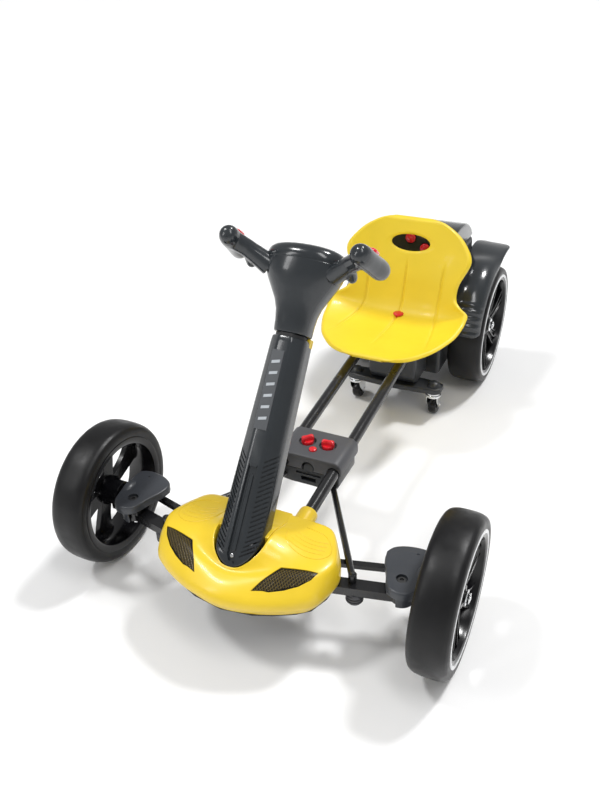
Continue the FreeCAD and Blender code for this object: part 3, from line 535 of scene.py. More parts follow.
# three creases down the back that fan out over the pan
def grooveDepth(x, y, z):
    depth = 0
    height = max(z - 224, 0)
    if z <= 316 and y > 450:
        forward = max(605 - y, 0)
        for start, fan in ((-74, -0.36), (0, -0.12), (74, 0.22)):
            place = start + start * height * 0.0002 + fan * forward * 0.55
            fade = min(1, max(0, (316 - z) / 22)) * min(1, max(0, (y - 455) / 60))
            depth += math.exp(-((x - place) / 1.9) ** 2) * fade
    return depth * seatShape["grooveDepth"]


def makeSeat():
    mesh = bmesh.new()
    bmesh.ops.create_grid(mesh, x_segments=seatShape["across"], y_segments=seatShape["along"], size=0.5)
    holeLength = 0
    for length, part in seatLine:
        if seatRow(part)[1] <= seatShape["holeAt"]:
            holeLength = length
    flat = {}
    for vert in mesh.verts:
        length = (vert.co.y + 0.5) * seatLength
        half = seatRow(partAt(length))[2]
        flat[vert] = [vert.co.x * 2 * half, length, half]
    holeX, holeZ = seatShape["holeHalf"]
    inside = [face for face in mesh.faces if sum(
        (flat[vert][0] / holeX) ** 2 + ((flat[vert][1] - holeLength) / holeZ) ** 2
        for vert in face.verts) / 4 < 0.96]
    rim = {vert for face in inside for vert in face.verts}
    bmesh.ops.delete(mesh, geom=inside, context="FACES")
    for vert in [item for item in rim if item.is_valid]:
        x, length, half = flat[vert]
        reach = math.hypot(x / holeX, (length - holeLength) / holeZ)
        flat[vert][0] = x / reach
        flat[vert][1] = holeLength + (length - holeLength) / reach
    for vert in mesh.verts:
        x, length, half = flat[vert]
        y, z, wide, rise, lean = seatRow(partAt(length))
        turn = math.radians(lean)
        inward = Vector((0, -math.sin(turn), math.cos(turn)))
        share = min(abs(x) / max(wide, 1), 1)
        edge = min(wide - abs(x), length, seatLength - length)
        roll = max(0, 1 - edge / seatShape["rollWidth"]) ** 2 * seatShape["roll"]
        holeEdge = math.hypot(x / holeX, (length - holeLength) / holeZ) - 1
        roll += max(0, 1 - holeEdge * holeZ / 5) ** 2 * 3.0
        lift = rise * share ** 3 - roll - grooveDepth(x, y, z)
        vert.co = kartPoint(x, y, z) + inward * (lift * mm)
    made = pieceFrom(mesh, "seatBucket", "rear_unit", seatYellow, ["seat"], 0)
    upward = sum(face.normal.z * face.area for face in made.data.polygons)
    addWall(made, seatShape["thick"], -1.0 if upward > 0 else 1.0)


makeSeat()
mesh = bmesh.new()
plugAt = boxMiddle("seat_plug")
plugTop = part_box("seat_plug")[1].z / mm + 3.2
spun(mesh, [(0.01, plugTop), (6, plugTop - 0.1), (9, plugTop - 0.8), (10.4, plugTop - 2),
            (10.4, plugTop - 3.4), (7.6, plugTop - 3.6), (7.6, plugTop - 11), (0.01, plugTop - 11)],
     Vector((plugAt.x, plugAt.y, 0)), zAxis, xAxis, 40)
pieceFrom(mesh, "seatPlug", "rear_unit", redGloss, ["seat_plug"])
print("seat ready")

# hood: rings of stations run from the rear, round the front, to the rear again
hoodShape = {"lip": [(38, 14), (70, 15), (100, 14), (113, -4), (127, -40), (125, -66), (114, -93),
                     (97, -107), (70, -121), (38, -132), (0, -138)],
             "waist": [(38, 17.5), (72, 18.5), (103, 17), (120, -4), (136, -38), (135.5, -66), (124, -98),
                       (105, -115), (77, -130), (44, -142), (0, -149.4)],
             "shoulder": [(38, 18), (72, 19), (102, 16), (118, -5), (134, -38), (134, -63), (124, -86),
                          (104, -100), (76, -114), (44, -129), (0, -139)],
             "brow": [(38, 16.5), (71, 16.5), (99, 13), (115, -6), (129, -38), (129, -56), (119, -74),
                      (98, -85), (70, -98), (42, -112), (0, -121)],
             "slot": [(37.5, 4), (37.5, -8), (37.5, -20), (37.5, -34), (37.5, -48), (37.5, -61),
                      (36.4, -76), (32, -87.5), (25, -97), (12.5, -105.5), (0, -107.5)],
             "rim": [(16, 160.8), (4, 161), (-10, 163), (-20, 166), (-28, 170), (-36, 174), (-48, 177.4),
                     (-61, 178), (-70, 176.6), (-81.5, 171.6), (-92.4, 165), (-100.3, 158.2), (-105.6, 153),
                     (-108, 151)],
             "dips": {"lip": (0, 1, 0), "waist": (0, 1, 0), "shoulder": (-100, 39, 5), "brow": (-90, 31, 11),
                      "slot": (-48, 52, 16)},
             "stations": 121, "wall": 2.6}
lampOutline = [(119, -74.5), (104, -77), (87, -81), (69, -86), (61, -99), (52, -112), (43, -127),
               (58, -121.5), (66, -119.5), (84, -110), (100, -99), (113, -86)]


def hoodRing(name, level, spread=0.0):
    half = [(x, y) for x, y in hoodShape[name]]
    whole = half + [(-x, y) for x, y in half[-2::-1]]
    start, reach, dip = hoodShape["dips"][name]
    return [kartPoint(x * (1 + spread), y, level - dip * min(1, max(0, (start - y) / reach)) ** 1.4)
            for x, y in smoothLine(whole, hoodShape["stations"])]


def blendRings(first, second, part, lift=0.0):
    return [a.lerp(b, part) + Vector((0, 0, lift * mm)) for a, b in zip(first, second)]


# how high the slot's rim stands at a place along the kart
def rimLevel(y):
    line = hoodShape["rim"]
    for (behind, high), (ahead, low) in zip(line, line[1:]):
        if y >= ahead:
            return low + (high - low) * min(1, (y - ahead) / (behind - ahead))
    return line[-1][1]


def hoodRings():
    lip, low = hoodRing("lip", 101.2), hoodRing("lip", 103.5, 0.008)
    waist, waistTop = hoodRing("waist", 117), hoodRing("waist", 126)
    shoulder, brow = hoodRing("shoulder", 142), hoodRing("brow", 156.4)
    rim = hoodRing("slot", 160.4)
    rises = [rimLevel((place.y - frontWheelAt.y) / mm) - place.z / mm for place in rim]

    # the skin between the brow and the slot, which swells up round the column
    def towardRim(part, lift):
        return [a.lerp(b, part) + Vector((0, 0, (lift + rise * part ** 3) * mm))
                for a, b, rise in zip(brow, rim, rises)]

    return [lip, low, waist, waistTop, blendRings(waistTop, shoulder, 0.55, 1.5), shoulder,
            blendRings(shoulder, brow, 0.55, 1.5), brow, towardRim(0.2, 1.2), towardRim(0.4, 1.5),
            towardRim(0.6, 1.3), towardRim(0.78, 0.9), towardRim(0.9, 0.7), towardRim(0.97, 0.5),
            towardRim(1, -1.6), towardRim(1, -20)]


# the hood's skin as a scratch object, sunk by drop, with a wall behind it
def hoodSkin(drop=0.0, wall=2.6):
    mesh = bmesh.new()
    loft(mesh, hoodRings(), closed=False)
    bmesh.ops.recalc_face_normals(mesh, faces=mesh.faces)
    mesh.normal_update()
    upward = sum(face.normal.z * face.calc_area() for face in mesh.faces)
    if upward < 0:
        bmesh.ops.reverse_faces(mesh, faces=mesh.faces)
        mesh.normal_update()
    for vert in mesh.verts:
        vert.co -= vert.normal * (drop * mm)
    data = bpy.data.meshes.new("scratch")
    mesh.to_mesh(data)
    mesh.free()
    made = placed("scratch", data)
    addSubdivision(made, 1)
    addWall(made, wall)
    return applied(made)


# an upright prism through the lamp's place, drawn in or out by grow millimetres
def lampTool(side, grow):
    middle = Vector((sum(x for x, y in lampOutline), sum(y for x, y in lampOutline))) / len(lampOutline)
    outline = []
    for x, y in lampOutline:
        out = (Vector((x, y)) - middle)
        place = middle + out * (1 + grow / out.length)
        outline.append((place.x * sides[side], place.y))
    mesh = bmesh.new()
    prism(mesh, outline, 110, 190)
    return scratch(mesh)


# the side opening that the beam and the tie bar pass through
def beamGap(side):
    mesh = bmesh.new()
    low, high = sorted((88 * sides[side], 160 * sides[side]))
    brick(mesh, (low, -62, 90), (high, 15, 117.4))
    return scratch(mesh)


hood = hoodSkin(0, hoodShape["wall"])
cutWith(hood, [lampTool(side, 0) for side in sides] + [beamGap(side) for side in sides])
dressed(hood, "hoodShell", "front_frame", yellowGloss, ["hood"], 50)
for side in sides:
    frameRing = cutWith(hoodSkin(1.3, 5.0), [lampTool(side, -0.15)], "INTERSECT")
    dressed(frameRing, f"lampFrame_{side}", "front_frame", wheelBlack)
    glass = cutWith(hoodSkin(0.7, 2.4), [lampTool(side, -2.8)], "INTERSECT")
    dressed(glass, f"lampGlass_{side}", "front_frame", lampGlass, [f"lamp_{side}"])
# the skin between the slot and the rear edge, which follows the slot's rim
deckShape = {"half": 38.4, "low": 148, "sink": 0.4,
             "rows": (-62, -55, -48, -42, -36, -32, -28, -24, -20, -15, -10, -4, 4, 15.6)}
mesh = bmesh.new()
rings = []
for y in deckShape["rows"]:
    half, low, top = deckShape["half"], deckShape["low"], rimLevel(y) - deckShape["sink"]
    rings.append([kartPoint(x, y, z) for x, z in ((-half, low), (-half, top), (half, top), (half, low))])
loft(mesh, rings)
brick(mesh, (-38.5, 12.5, 120), (38.5, 16.4, 151))
deck = pieceFrom(mesh, "hoodDeck", "front_frame", yellowGloss)
addBevel(deck, 1.0, 3)

# bosses that grip the frame tubes
tubeLow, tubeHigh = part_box("frame_tube_right")
tubeRadius = (tubeHigh.x - tubeLow.x) / 2 / mm
slideAxis = Vector(joints["length_slide"]["axis"]) * -1
tubeStart = Vector(((tubeLow.x + tubeHigh.x) / 2, tubeLow.y, tubeLow.z + tubeRadius * mm))


# a place on a frame tube's axis, y millimetres behind the front axle
def tubePoint(side, y):
    along = (frontWheelAt.y + y * mm - tubeStart.y) / slideAxis.y
    at = tubeStart + slideAxis * along
    return Vector((abs(at.x) * sides[side], at.y, at.z))


for side in sides:
    mesh = bmesh.new()
    spun(mesh, [(30, 0), (25, 6), (20, 13), (17, 21), (15.6, 32), (15.0, 48), (14.9, 55), (14.2, 57.2),
                (12, 57.8), (10.3, 57.6), (10.2, 40), (10.2, 4), (30, 0)],
         tubePoint(side, 0), slideAxis, xAxis, 56)
    pieceFrom(mesh, f"tubeBoss_{side}", "front_frame", yellowGloss, shadeAngle=50)

# raised foot rests: nested lines that follow the deck
hoodTree = BVHTree.FromObject(hood, bpy.context.evaluated_depsgraph_get())


def onHood(x, y):
    start = kartPoint(x, y, 220)
    hit = hoodTree.ray_cast(start, Vector((0, 0, -1)))[0]
    return hit if hit else kartPoint(x, y, 158)


# a fine bead along a line, made a mesh
def wire(name, points, radius, body, material, closed=False):
    curve = bpy.data.curves.new(name, "CURVE")
    curve.dimensions = "3D"
    line = curve.splines.new("NURBS")
    line.points.add(len(points) - 1)
    for point, place in zip(line.points, points):
        point.co = (*place, 1)
    line.order_u = 3
    line.use_cyclic_u = closed
    line.use_endpoint_u = not closed
    curve.bevel_depth = radius * mm
    curve.bevel_resolution = 2
    curve.use_fill_caps = True
    holder = placed(name, curve)
    graph = bpy.context.evaluated_depsgraph_get()
    data = bpy.data.meshes.new_from_object(holder.evaluated_get(graph))
    bpy.data.objects.remove(holder)
    made = placed(name, data)
    return dressed(made, name, body, material)


footPad = [(50, -24), (58, -46), (76, -56), (97, -58), (114, -50), (120, -36), (112, -18), (96, -6), (70, -4)]
for side in sides:
    sign = sides[side]
    outline = smoothLine(footPad, 34)
    wire(f"footPad_{side}", [onHood(x * sign, y) for x, y in outline], 0.75, "front_frame",
         yellowGloss)
    for row in range(4):
        line = [(60 + row * 1.5 + step * (52 - row * 2) / 12,
                 -44 + row * 8 - 5 * math.sin(math.pi * step / 12)) for step in range(13)]
        wire(f"footRib_{side}_{row}", [onHood(x * sign, y) for x, y in line], 0.6, "front_frame",
             yellowGloss)
print("hood ready")

# steering column
sleeveShape = {"low": -14.5, "top": 309, "lowHalf": 35, "topHalf": 27, "round": 50, "grooves": 20,
               "corner": 3.4, "grooveLow": 2, "grooveStep": 6.9, "grooveRise": 17,
               "levels": [-14.5, -14.4, -14, -13.2, -12, -10, -7.5, -4, 0, 5, 11, 18, 26, 36, 60, 110, 160,
                          210, 260, 300, 307, 309]}


# swaps each corner of a closed outline for a short curve
def roundedOutline(points, reach, steps=4):
    made = []
    for index, corner in enumerate(points):
        here = Vector(corner)
        before, after = Vector(points[index - 1]), Vector(points[(index + 1) % len(points)])
        start = here + (before - here).normalized() * min(reach, (before - here).length * 0.45)
        end = here + (after - here).normalized() * min(reach, (after - here).length * 0.45)
        for step in range(steps + 1):
            part = step / steps
            made.append(start * (1 - part) ** 2 + here * 2 * part * (1 - part) + end * part ** 2)
    return [(point.x, point.y) for point in made]


# half a faceted section from the front ridge to the back, in millimetres
def sleeveSection(up, grow=0.0):
    part = (up - sleeveShape["low"]) / (sleeveShape["top"] - sleeveShape["low"])
    half = sleeveShape["lowHalf"] + (sleeveShape["topHalf"] - sleeveShape["lowHalf"]) * part
    tip = min(1, max(0, sleeveShape["round"] - up + sleeveShape["low"]) / sleeveShape["round"])
    flat = min(1, 1.5 * tip)
    squeeze = math.sqrt(max(0.0004, 1 - tip * tip))
    right = [(half * 0.36, -25), (half * 0.92, -13 - 11 * flat), (half, -6 - 15 * flat), (half, 14),
             (half * 0.8, 23), (half * 0.4, 25)]
    left = [(-x, y) for x, y in reversed(right)]
    return [(x * (1 + grow) * squeeze, y * (1 + grow)) for x, y in right + left]


# a place on the slanted front facet: across runs from the ridge (0) to the side (1)
def facetPoint(side, across, up, out=0.0):
    section = sleeveSection(up)
    near, far = Vector(section[0]), Vector(section[1])
    at = near.lerp(far, across)
    lean = (far - near).normalized()
    normal = Vector((lean.y, -lean.x))
    at += normal * out
    return columnPoint(at.x * sides[side], at.y, up)


mesh = bmesh.new()
rings = []
for level in sleeveShape["levels"]:
    shrink = {307: -0.012, 309: -0.05}.get(level, 0.0)
    section = roundedOutline(sleeveSection(level, shrink), sleeveShape["corner"])
    rings.append([columnPoint(x, y, level) for x, y in section])
loft(mesh, rings)
sleeve = pieceFrom(mesh, "columnSleeve", "front_frame", graphite, ["column_sleeve"], 60)
mesh = bmesh.new()
for side in sides:
    for index in range(sleeveShape["grooves"]):
        up = sleeveShape["grooveLow"] + index * sleeveShape["grooveStep"]
        start, end = facetPoint(side, 0.16, up), facetPoint(side, 1.3, up + sleeveShape["grooveRise"])
        outward = (facetPoint(side, 0.5, up, 2) - facetPoint(side, 0.5, up)).normalized()
        span = (end - start).normalized()
        rise = outward.cross(span)
        wide = rise * (1.0 * mm)
        corners = [start - wide, start + wide, end + wide, end - wide]
        loft(mesh, [[corner - outward * 1.8 * mm for corner in corners],
                    [corner + outward * 6 * mm for corner in corners]])
slotRing = smoothLine([(-7, 2), (-7, 117), (-4, 124), (4, 124), (7, 117), (7, 2), (3, -6), (-3, -6)], 30)
prism(mesh, slotRing, -40, -21.6, lambda a, b, level: columnPoint(a, level, b))
carve(sleeve, mesh, 32)
# the steel foot is kept to what fits under the hood and inside the sleeve
footTrim = {"under": 138, "levels": [-13, -10, -6, 0, 8, 19, 36, 60], "shrink": -0.07}


def footPart(trim):
    node = frame["nodes"]["column_foot"]
    data = node.data.copy()
    data.transform(node.matrix_world)
    made = placed("scratch", data)
    return cutWith(made, [scratch(trim)], "INTERSECT")


under = bmesh.new()
brick(under, (-70, -130, 90), (70, -20, footTrim["under"]))
within = bmesh.new()
loft(within, [[columnPoint(x, y, up) for x, y in sleeveSection(up, footTrim["shrink"])]
              for up in footTrim["levels"]])
mesh = bmesh.new()
for part in (footPart(under), footPart(within)):
    mesh.from_mesh(part.data)
    bpy.data.objects.remove(part)
pieceFrom(mesh, "columnFoot", "front_frame", blackSteel, ["column_foot"])
mesh = bmesh.new()
tube(mesh, columnPoint(0, -23.6, 1), columnPoint(0, -21.0, 1), 2.6, 24, 3.0)
screw = pieceFrom(mesh, "slotScrew", "front_frame", chrome)
addBevel(screw, 0.5, 2)
mesh = bmesh.new()
slotFloor = [(-3.2, 9), (-3.2, 112), (0, 116), (3.2, 112), (3.2, 9), (0, 6)]
prism(mesh, slotFloor, -22.9, -21.0, lambda a, b, level: columnPoint(a, level, b))
rib = pieceFrom(mesh, "slotRib", "front_frame", graphite)
addBevel(rib, 0.8, 2)

# plain label panel: a raised plate with rounded edges and blank generic bars
panelShape = {"low": 176, "top": 288, "left": -13.5, "right": 6.5, "bars": 6}


def panelPoint(a, b, level):
    lean = (b - 230) * 0.012
    return columnPoint(a - lean * 0.6, level, b)


mesh = bmesh.new()
prism(mesh, [(panelShape["left"], panelShape["low"]), (panelShape["right"], panelShape["low"]),
             (panelShape["right"] - 1, panelShape["top"]), (panelShape["left"] + 1, panelShape["top"])],
      -25.9, -23.0, panelPoint)
panel = pieceFrom(mesh, "labelPanel", "front_frame", labelGrey, ["column_panel"])
addBevel(panel, 0.5, 2)
for index in range(panelShape["bars"]):
    mesh = bmesh.new()
    low = panelShape["low"] + 12 + index * 16
    prism(mesh, [(-9.5, low), (2.5, low + 3), (2.5, low + 7), (-9.5, low + 4)], -26.3, -25.5, panelPoint)
    pieceFrom(mesh, f"labelBar_{index}", "front_frame", printGrey)
mesh = bmesh.new()
collarHalf = sleeveSection(309)
rearHalf = [(x * 1.01, max(y, 3) * 1.02) for x, y in collarHalf[2:-2]]
loft(mesh, [[columnPoint(x, y, up) for x, y in rearHalf] for up in (301, 313.6)])
collar = pieceFrom(mesh, "neckCollar", "front_frame", yellowGloss, ["neck_collar"])
addBevel(collar, 1.2, 2)
# dark ring sunk inside the neck gap: painted shade, a dark piece standing in for the shadow that falls in the
# gap between sleeve and head
mesh = bmesh.new()
loft(mesh, [[columnPoint(x * 0.84, y * 0.84, up) for x, y in collarHalf] for up in (306, 314.2)])
gap = pieceFrom(mesh, "neckShadeRing", "front_frame", softBlack)
addBevel(gap, 0.8, 2)
print("column ready")

# head
headRings = [(314.6, 25.4, 21.6, 0, 2.9), (317, 26.4, 22.6, -0.3, 2.9), (330, 27.2, 23.8, -1.8, 2.8),
             (345, 29.6, 25.6, -3.6, 2.6), (358, 34, 28.4, -5.6, 2.5), (372, 42, 32.6, -7.8, 2.45),
             (386, 50.2, 36.8, -9.6, 2.4), (398, 55.6, 39.4, -10.5, 2.35), (413.4, 58.2, 40.8, -10.8, 2.3)]
capRings = [(412.6, 57, 39.8, -10.8, 2.3), (414.6, 57.8, 40.6, -10.8, 2.3), (420, 58.2, 40.8, -10.9, 2.3),
            (427, 56.4, 39.4, -10.8, 2.25), (432, 51.4, 35.8, -10.6, 2.2), (435.4, 42.6, 29.4, -10.2, 2.15),
            (437.2, 29, 20, -9.8, 2.1), (437.9, 12, 8.6, -9.6, 2)]


def ovalRing(up, halfX, halfY, centreY, power, count=64):
    ring = []
    for index in range(count):
        turn = 2 * math.pi * index / count
        x = math.copysign(abs(math.cos(turn)) ** (2 / power), math.cos(turn)) * halfX
        y = math.copysign(abs(math.sin(turn)) ** (2 / power), math.sin(turn)) * halfY
        ring.append(columnPoint(x, y + centreY, up))
    return ring


mesh = bmesh.new()
loft(mesh, [ovalRing(*values) for values in headRings])
head = pieceFrom(mesh, "headShell", "steering_head", graphite, ["head_shell"], 50)
addBevel(head, 1.0, 2, 50)
mesh = bmesh.new()
loft(mesh, [ovalRing(*values) for values in capRings])
cap = pieceFrom(mesh, "headCap", "steering_head", graphite, ["head_cap"], 50)

# red button in a well of the cap
powerShape = {"across": 25, "rear": -16, "well": 421.5, "clear": 446, "wellRadius": 8.4}
powerAt = columnPoint(powerShape["across"], powerShape["rear"], 0)
mesh = bmesh.new()
tube(mesh, powerAt + columnUp * powerShape["well"] * mm, powerAt + columnUp * powerShape["clear"] * mm,
     powerShape["wellRadius"], 40)
carve(cap, mesh, 45)
mesh = bmesh.new()
spun(mesh, [(0.01, 438.6), (4, 438.4), (6.6, 437.7), (7.9, 436), (7.9, 425.5), (0.01, 425.5)],
     powerAt, columnUp, xAxis, 40)
pieceFrom(mesh, "powerButton", "power_switch", redGloss, ["power_button"], 50)

# handles: the grip and its arm are melted together, then smoothed
gripShape = {"top": (96, -72, 423), "end": (107, -12, 421), "melt": 1.4,
             "stations": [(-14, 3), (-13, 7), (-10.5, 10.8), (-5, 13.6), (2, 14.8), (10, 15), (22, 14.6),
                          (36, 14.4), (50, 14.8), (60, 14.6), (67, 13.2), (71.5, 10), (74, 6), (75, 2.4)]}
thumbOutline = [(-7, -8), (-4, -12), (4, -12), (7, -8), (7, 8), (4, 12), (-4, 12), (-7, 8)]


# a rounded limb through the given places, radii in millimetres
def tubeAlong(mesh, points, radii, count=40):
    rings = []
    for index, (point, radius) in enumerate(zip(points, radii)):
        before, after = points[max(index - 1, 0)], points[min(index + 1, len(points) - 1)]
        along = (after - before).normalized()
        side = (columnUp - along * columnUp.dot(along)).normalized()
        other = along.cross(side)
        rings.append([point + (side * math.cos(2 * math.pi * step / count) * radius[0]
                               + other * math.sin(2 * math.pi * step / count) * radius[1]) * mm
                      for step in range(count)])
    loft(mesh, rings)


def makeHandle(side):
    sign = sides[side]
    top = columnPoint(gripShape["top"][0] * sign, *gripShape["top"][1:])
    end = columnPoint(gripShape["end"][0] * sign, *gripShape["end"][1:])
    span = (end - top).normalized()
    mesh = bmesh.new()
    stations = gripShape["stations"]
    tubeAlong(mesh, [top + span * (along * mm) for along, radius in stations],
              [(radius, radius * 0.96) for along, radius in stations])
    root = columnPoint(48 * sign, -24, 402)
    elbow = columnPoint(78 * sign, -46, 416)
    join = columnPoint(97 * sign, -62, 422)
    route = [root, root.lerp(elbow, 0.35), root.lerp(elbow, 0.75), elbow, elbow.lerp(join, 0.5), join]
    tubeAlong(mesh, route, [(16, 16), (14.4, 14), (13, 12.8), (12.6, 12.6), (13, 13), (13, 13)])
    stub = [columnPoint(76 * sign, -44 + 23 * part, 412 - 14 * part) for part in (0, 0.4, 0.8, 0.95, 1.05)]
    tubeAlong(mesh, stub, [(9, 9), (8, 8), (7.4, 7.4), (5.8, 5.8), (2, 2)])
    handle = pieceFrom(mesh, f"handle_{side}", "steering_head", graphite,
                       [f"handle_{side}"], 0)
    melt = handle.modifiers.new("melt", "REMESH")
    melt.mode = "VOXEL"
    melt.voxel_size = gripShape["melt"] * mm
    melt.use_smooth_shade = True
    smooth = handle.modifiers.new("relax", "SMOOTH")
    smooth.factor = 0.5
    smooth.iterations = 10
    applied(handle)
    mesh = bmesh.new()
    brick(mesh, (101 * sign - 7.5, -52.6, 428.4), (101 * sign + 7.5, -27.4, 450), columnPoint)
    carve(handle, mesh, 40)
    mesh = bmesh.new()
    rings = []
    for up, grow in ((431.5, 0), (436, 0), (438.4, -0.6), (439.8, -2.0), (440.6, -4.0)):
        rings.append([columnPoint(101 * sign + x * (7 + grow) / 7, -40 + y * (12 + grow) / 12, up)
                      for x, y in thumbOutline])
    loft(mesh, rings)
    thumb = pieceFrom(mesh, f"throttle_{side}", f"thumb_throttle_{side}", redGloss,
                      [f"throttle_{side}"])
    addBevel(thumb, 1.2, 3)


for side in sides:
    makeHandle(side)
print("head ready")

# clamp over the frame tubes
clampLow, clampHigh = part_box("clamp_cover")
clampTop = clampHigh.z / mm
clampFront = (clampLow.y - frontWheelAt.y) / mm
clampBack = (clampHigh.y - frontWheelAt.y) / mm
knobAt = boxMiddle("lock_knob_right")
knobY = (knobAt.y - frontWheelAt.y) / mm
knobX = knobAt.x / mm


# pads a symmetric front-view outline from front to back
def acrossProfile(mesh, half, front, back):
    outline = half + [(-x, z) for x, z in reversed(half)]
    loft(mesh, [[kartPoint(x, front, z) for x, z in outline], [kartPoint(x, back, z) for x, z in outline]])


mesh = bmesh.new()
shoulder = [(44 + 13.8 * math.sin(turn * math.pi / 12), clampTop - 14 + 13.8 * math.cos(turn * math.pi / 12))
            for turn in range(7)]
acrossProfile(mesh, shoulder + [(57.6, 134), (52, 131.5), (30, 131.5)], clampFront + 0.3, clampBack - 0.3)
cover = pieceFrom(mesh, "clampCover", "front_frame", greyCase, ["clamp_cover"])
addBevel(cover, 3.0, 3, 40)
applied(cover)
mesh = bmesh.new()
for side in sides:
    sign = sides[side]
    tube(mesh, kartPoint(knobX * sign, knobY, clampTop - 6), kartPoint(knobX * sign, knobY, clampTop + 5),
         14.6, 48)
    tube(mesh, tubePoint(side, 120), tubePoint(side, 260), 10.6, 40)
tube(mesh, kartPoint(0, clampFront + 22, clampTop - 8), kartPoint(0, clampFront + 22, clampTop + 5), 6.9, 32)
tube(mesh, kartPoint(0, clampFront - 6, clampTop - 22), kartPoint(0, clampFront + 9, clampTop - 22), 11, 40)
carve(cover, mesh, 32)
mesh = bmesh.new()
acrossProfile(mesh, [(53, 131), (53, 112), (47, 102), (30, 100.3)], clampFront + 3, clampBack - 3)
block = pieceFrom(mesh, "clampBlock", "front_frame", darkCase, ["clamp_block"])
addBevel(block, 2.4, 3, 30)
applied(block)
mesh = bmesh.new()
brick(mesh, (-13, clampFront - 4, 109), (13, clampFront + 12, 117))
brick(mesh, (-22, clampFront - 4, 121), (22, clampFront + 5.5, 126))
for side in sides:
    tube(mesh, tubePoint(side, 120), tubePoint(side, 260), 10.6, 40)
carve(block, mesh, 32)
mesh = bmesh.new()
tube(mesh, kartPoint(0, clampFront + 3, clampTop - 25), kartPoint(0, clampFront + 12, clampTop - 25), 9.5, 40)
boss = pieceFrom(mesh, "clampBoss", "front_frame", darkCase)
addBevel(boss, 1.5, 3)
knobTurn = {"left": 0.8, "right": 0.1}
wingOutline = [(-11.2, 0), (-9.4, -4.4), (0, -3.4), (9.4, -4.4), (11.2, 0), (9.4, 4.4), (0, 3.4), (-9.4, 4.4),
               (-11.2, 0)]
for side in sides:
    sign = sides[side]
    at = kartPoint(knobX * sign, knobY, 0)
    mesh = bmesh.new()
    spun(mesh, [(0.01, clampTop - 5.6), (9.2, clampTop - 5.6), (9.6, clampTop - 4.6), (9.6, clampTop + 0.5),
                (8.8, clampTop + 2), (0.01, clampTop + 2.4)], at, zAxis, xAxis, 48)
    rings = []
    spin = Matrix.Rotation(knobTurn[side], 3, "Z")
    for level, grow in ((-2, 0.0), (5.5, 0.0), (8.4, -0.6), (9.7, -2.2)):
        long, short = (10.6 + grow) / 11.2 * mm, (5 + grow) / 5.2 * mm
        rings.append([at + spin @ Vector((x * long, y * short, (clampTop + level) * mm))
                      for x, y in smoothLine(wingOutline, 33)[:-1]])
    loft(mesh, rings)
    tube(mesh, at + Vector((0, 0, 0.124)), at + Vector((0, 0, (clampTop - 5) * mm)), 3.9, 24)
    knob = pieceFrom(mesh, f"lockKnob_{side}", f"lock_{side}", redGloss,
                     [f"lock_knob_{side}"], 40)
    addBevel(knob, 0.7, 2, 50)
mesh = bmesh.new()
spun(mesh, [(0.01, clampTop + 3), (4.6, clampTop + 2.8), (6.1, clampTop + 1.9), (6.4, clampTop + 0.6),
            (6.4, clampTop - 4.6), (0.01, clampTop - 4.6)],
     kartPoint(0, clampFront + 22, 0), zAxis, xAxis, 32)
pieceFrom(mesh, "releaseButton", "clamp_release", redGloss, ["release_button"], 45)
print("clamp ready")

# knuckles, axle bolts and brace bolts
kneeShape = {"outline": [(181, 22), (184, 4), (193, -16), (199, -34), (207, -46), (220, -50.5),
                         (233, -47.5), (242, -37), (246.5, -18), (248, 4), (248, 30), (242, 42), (226, 46),
                         (204, 42.5), (188, 34)], "kingpin": (217.7, -22.3)}


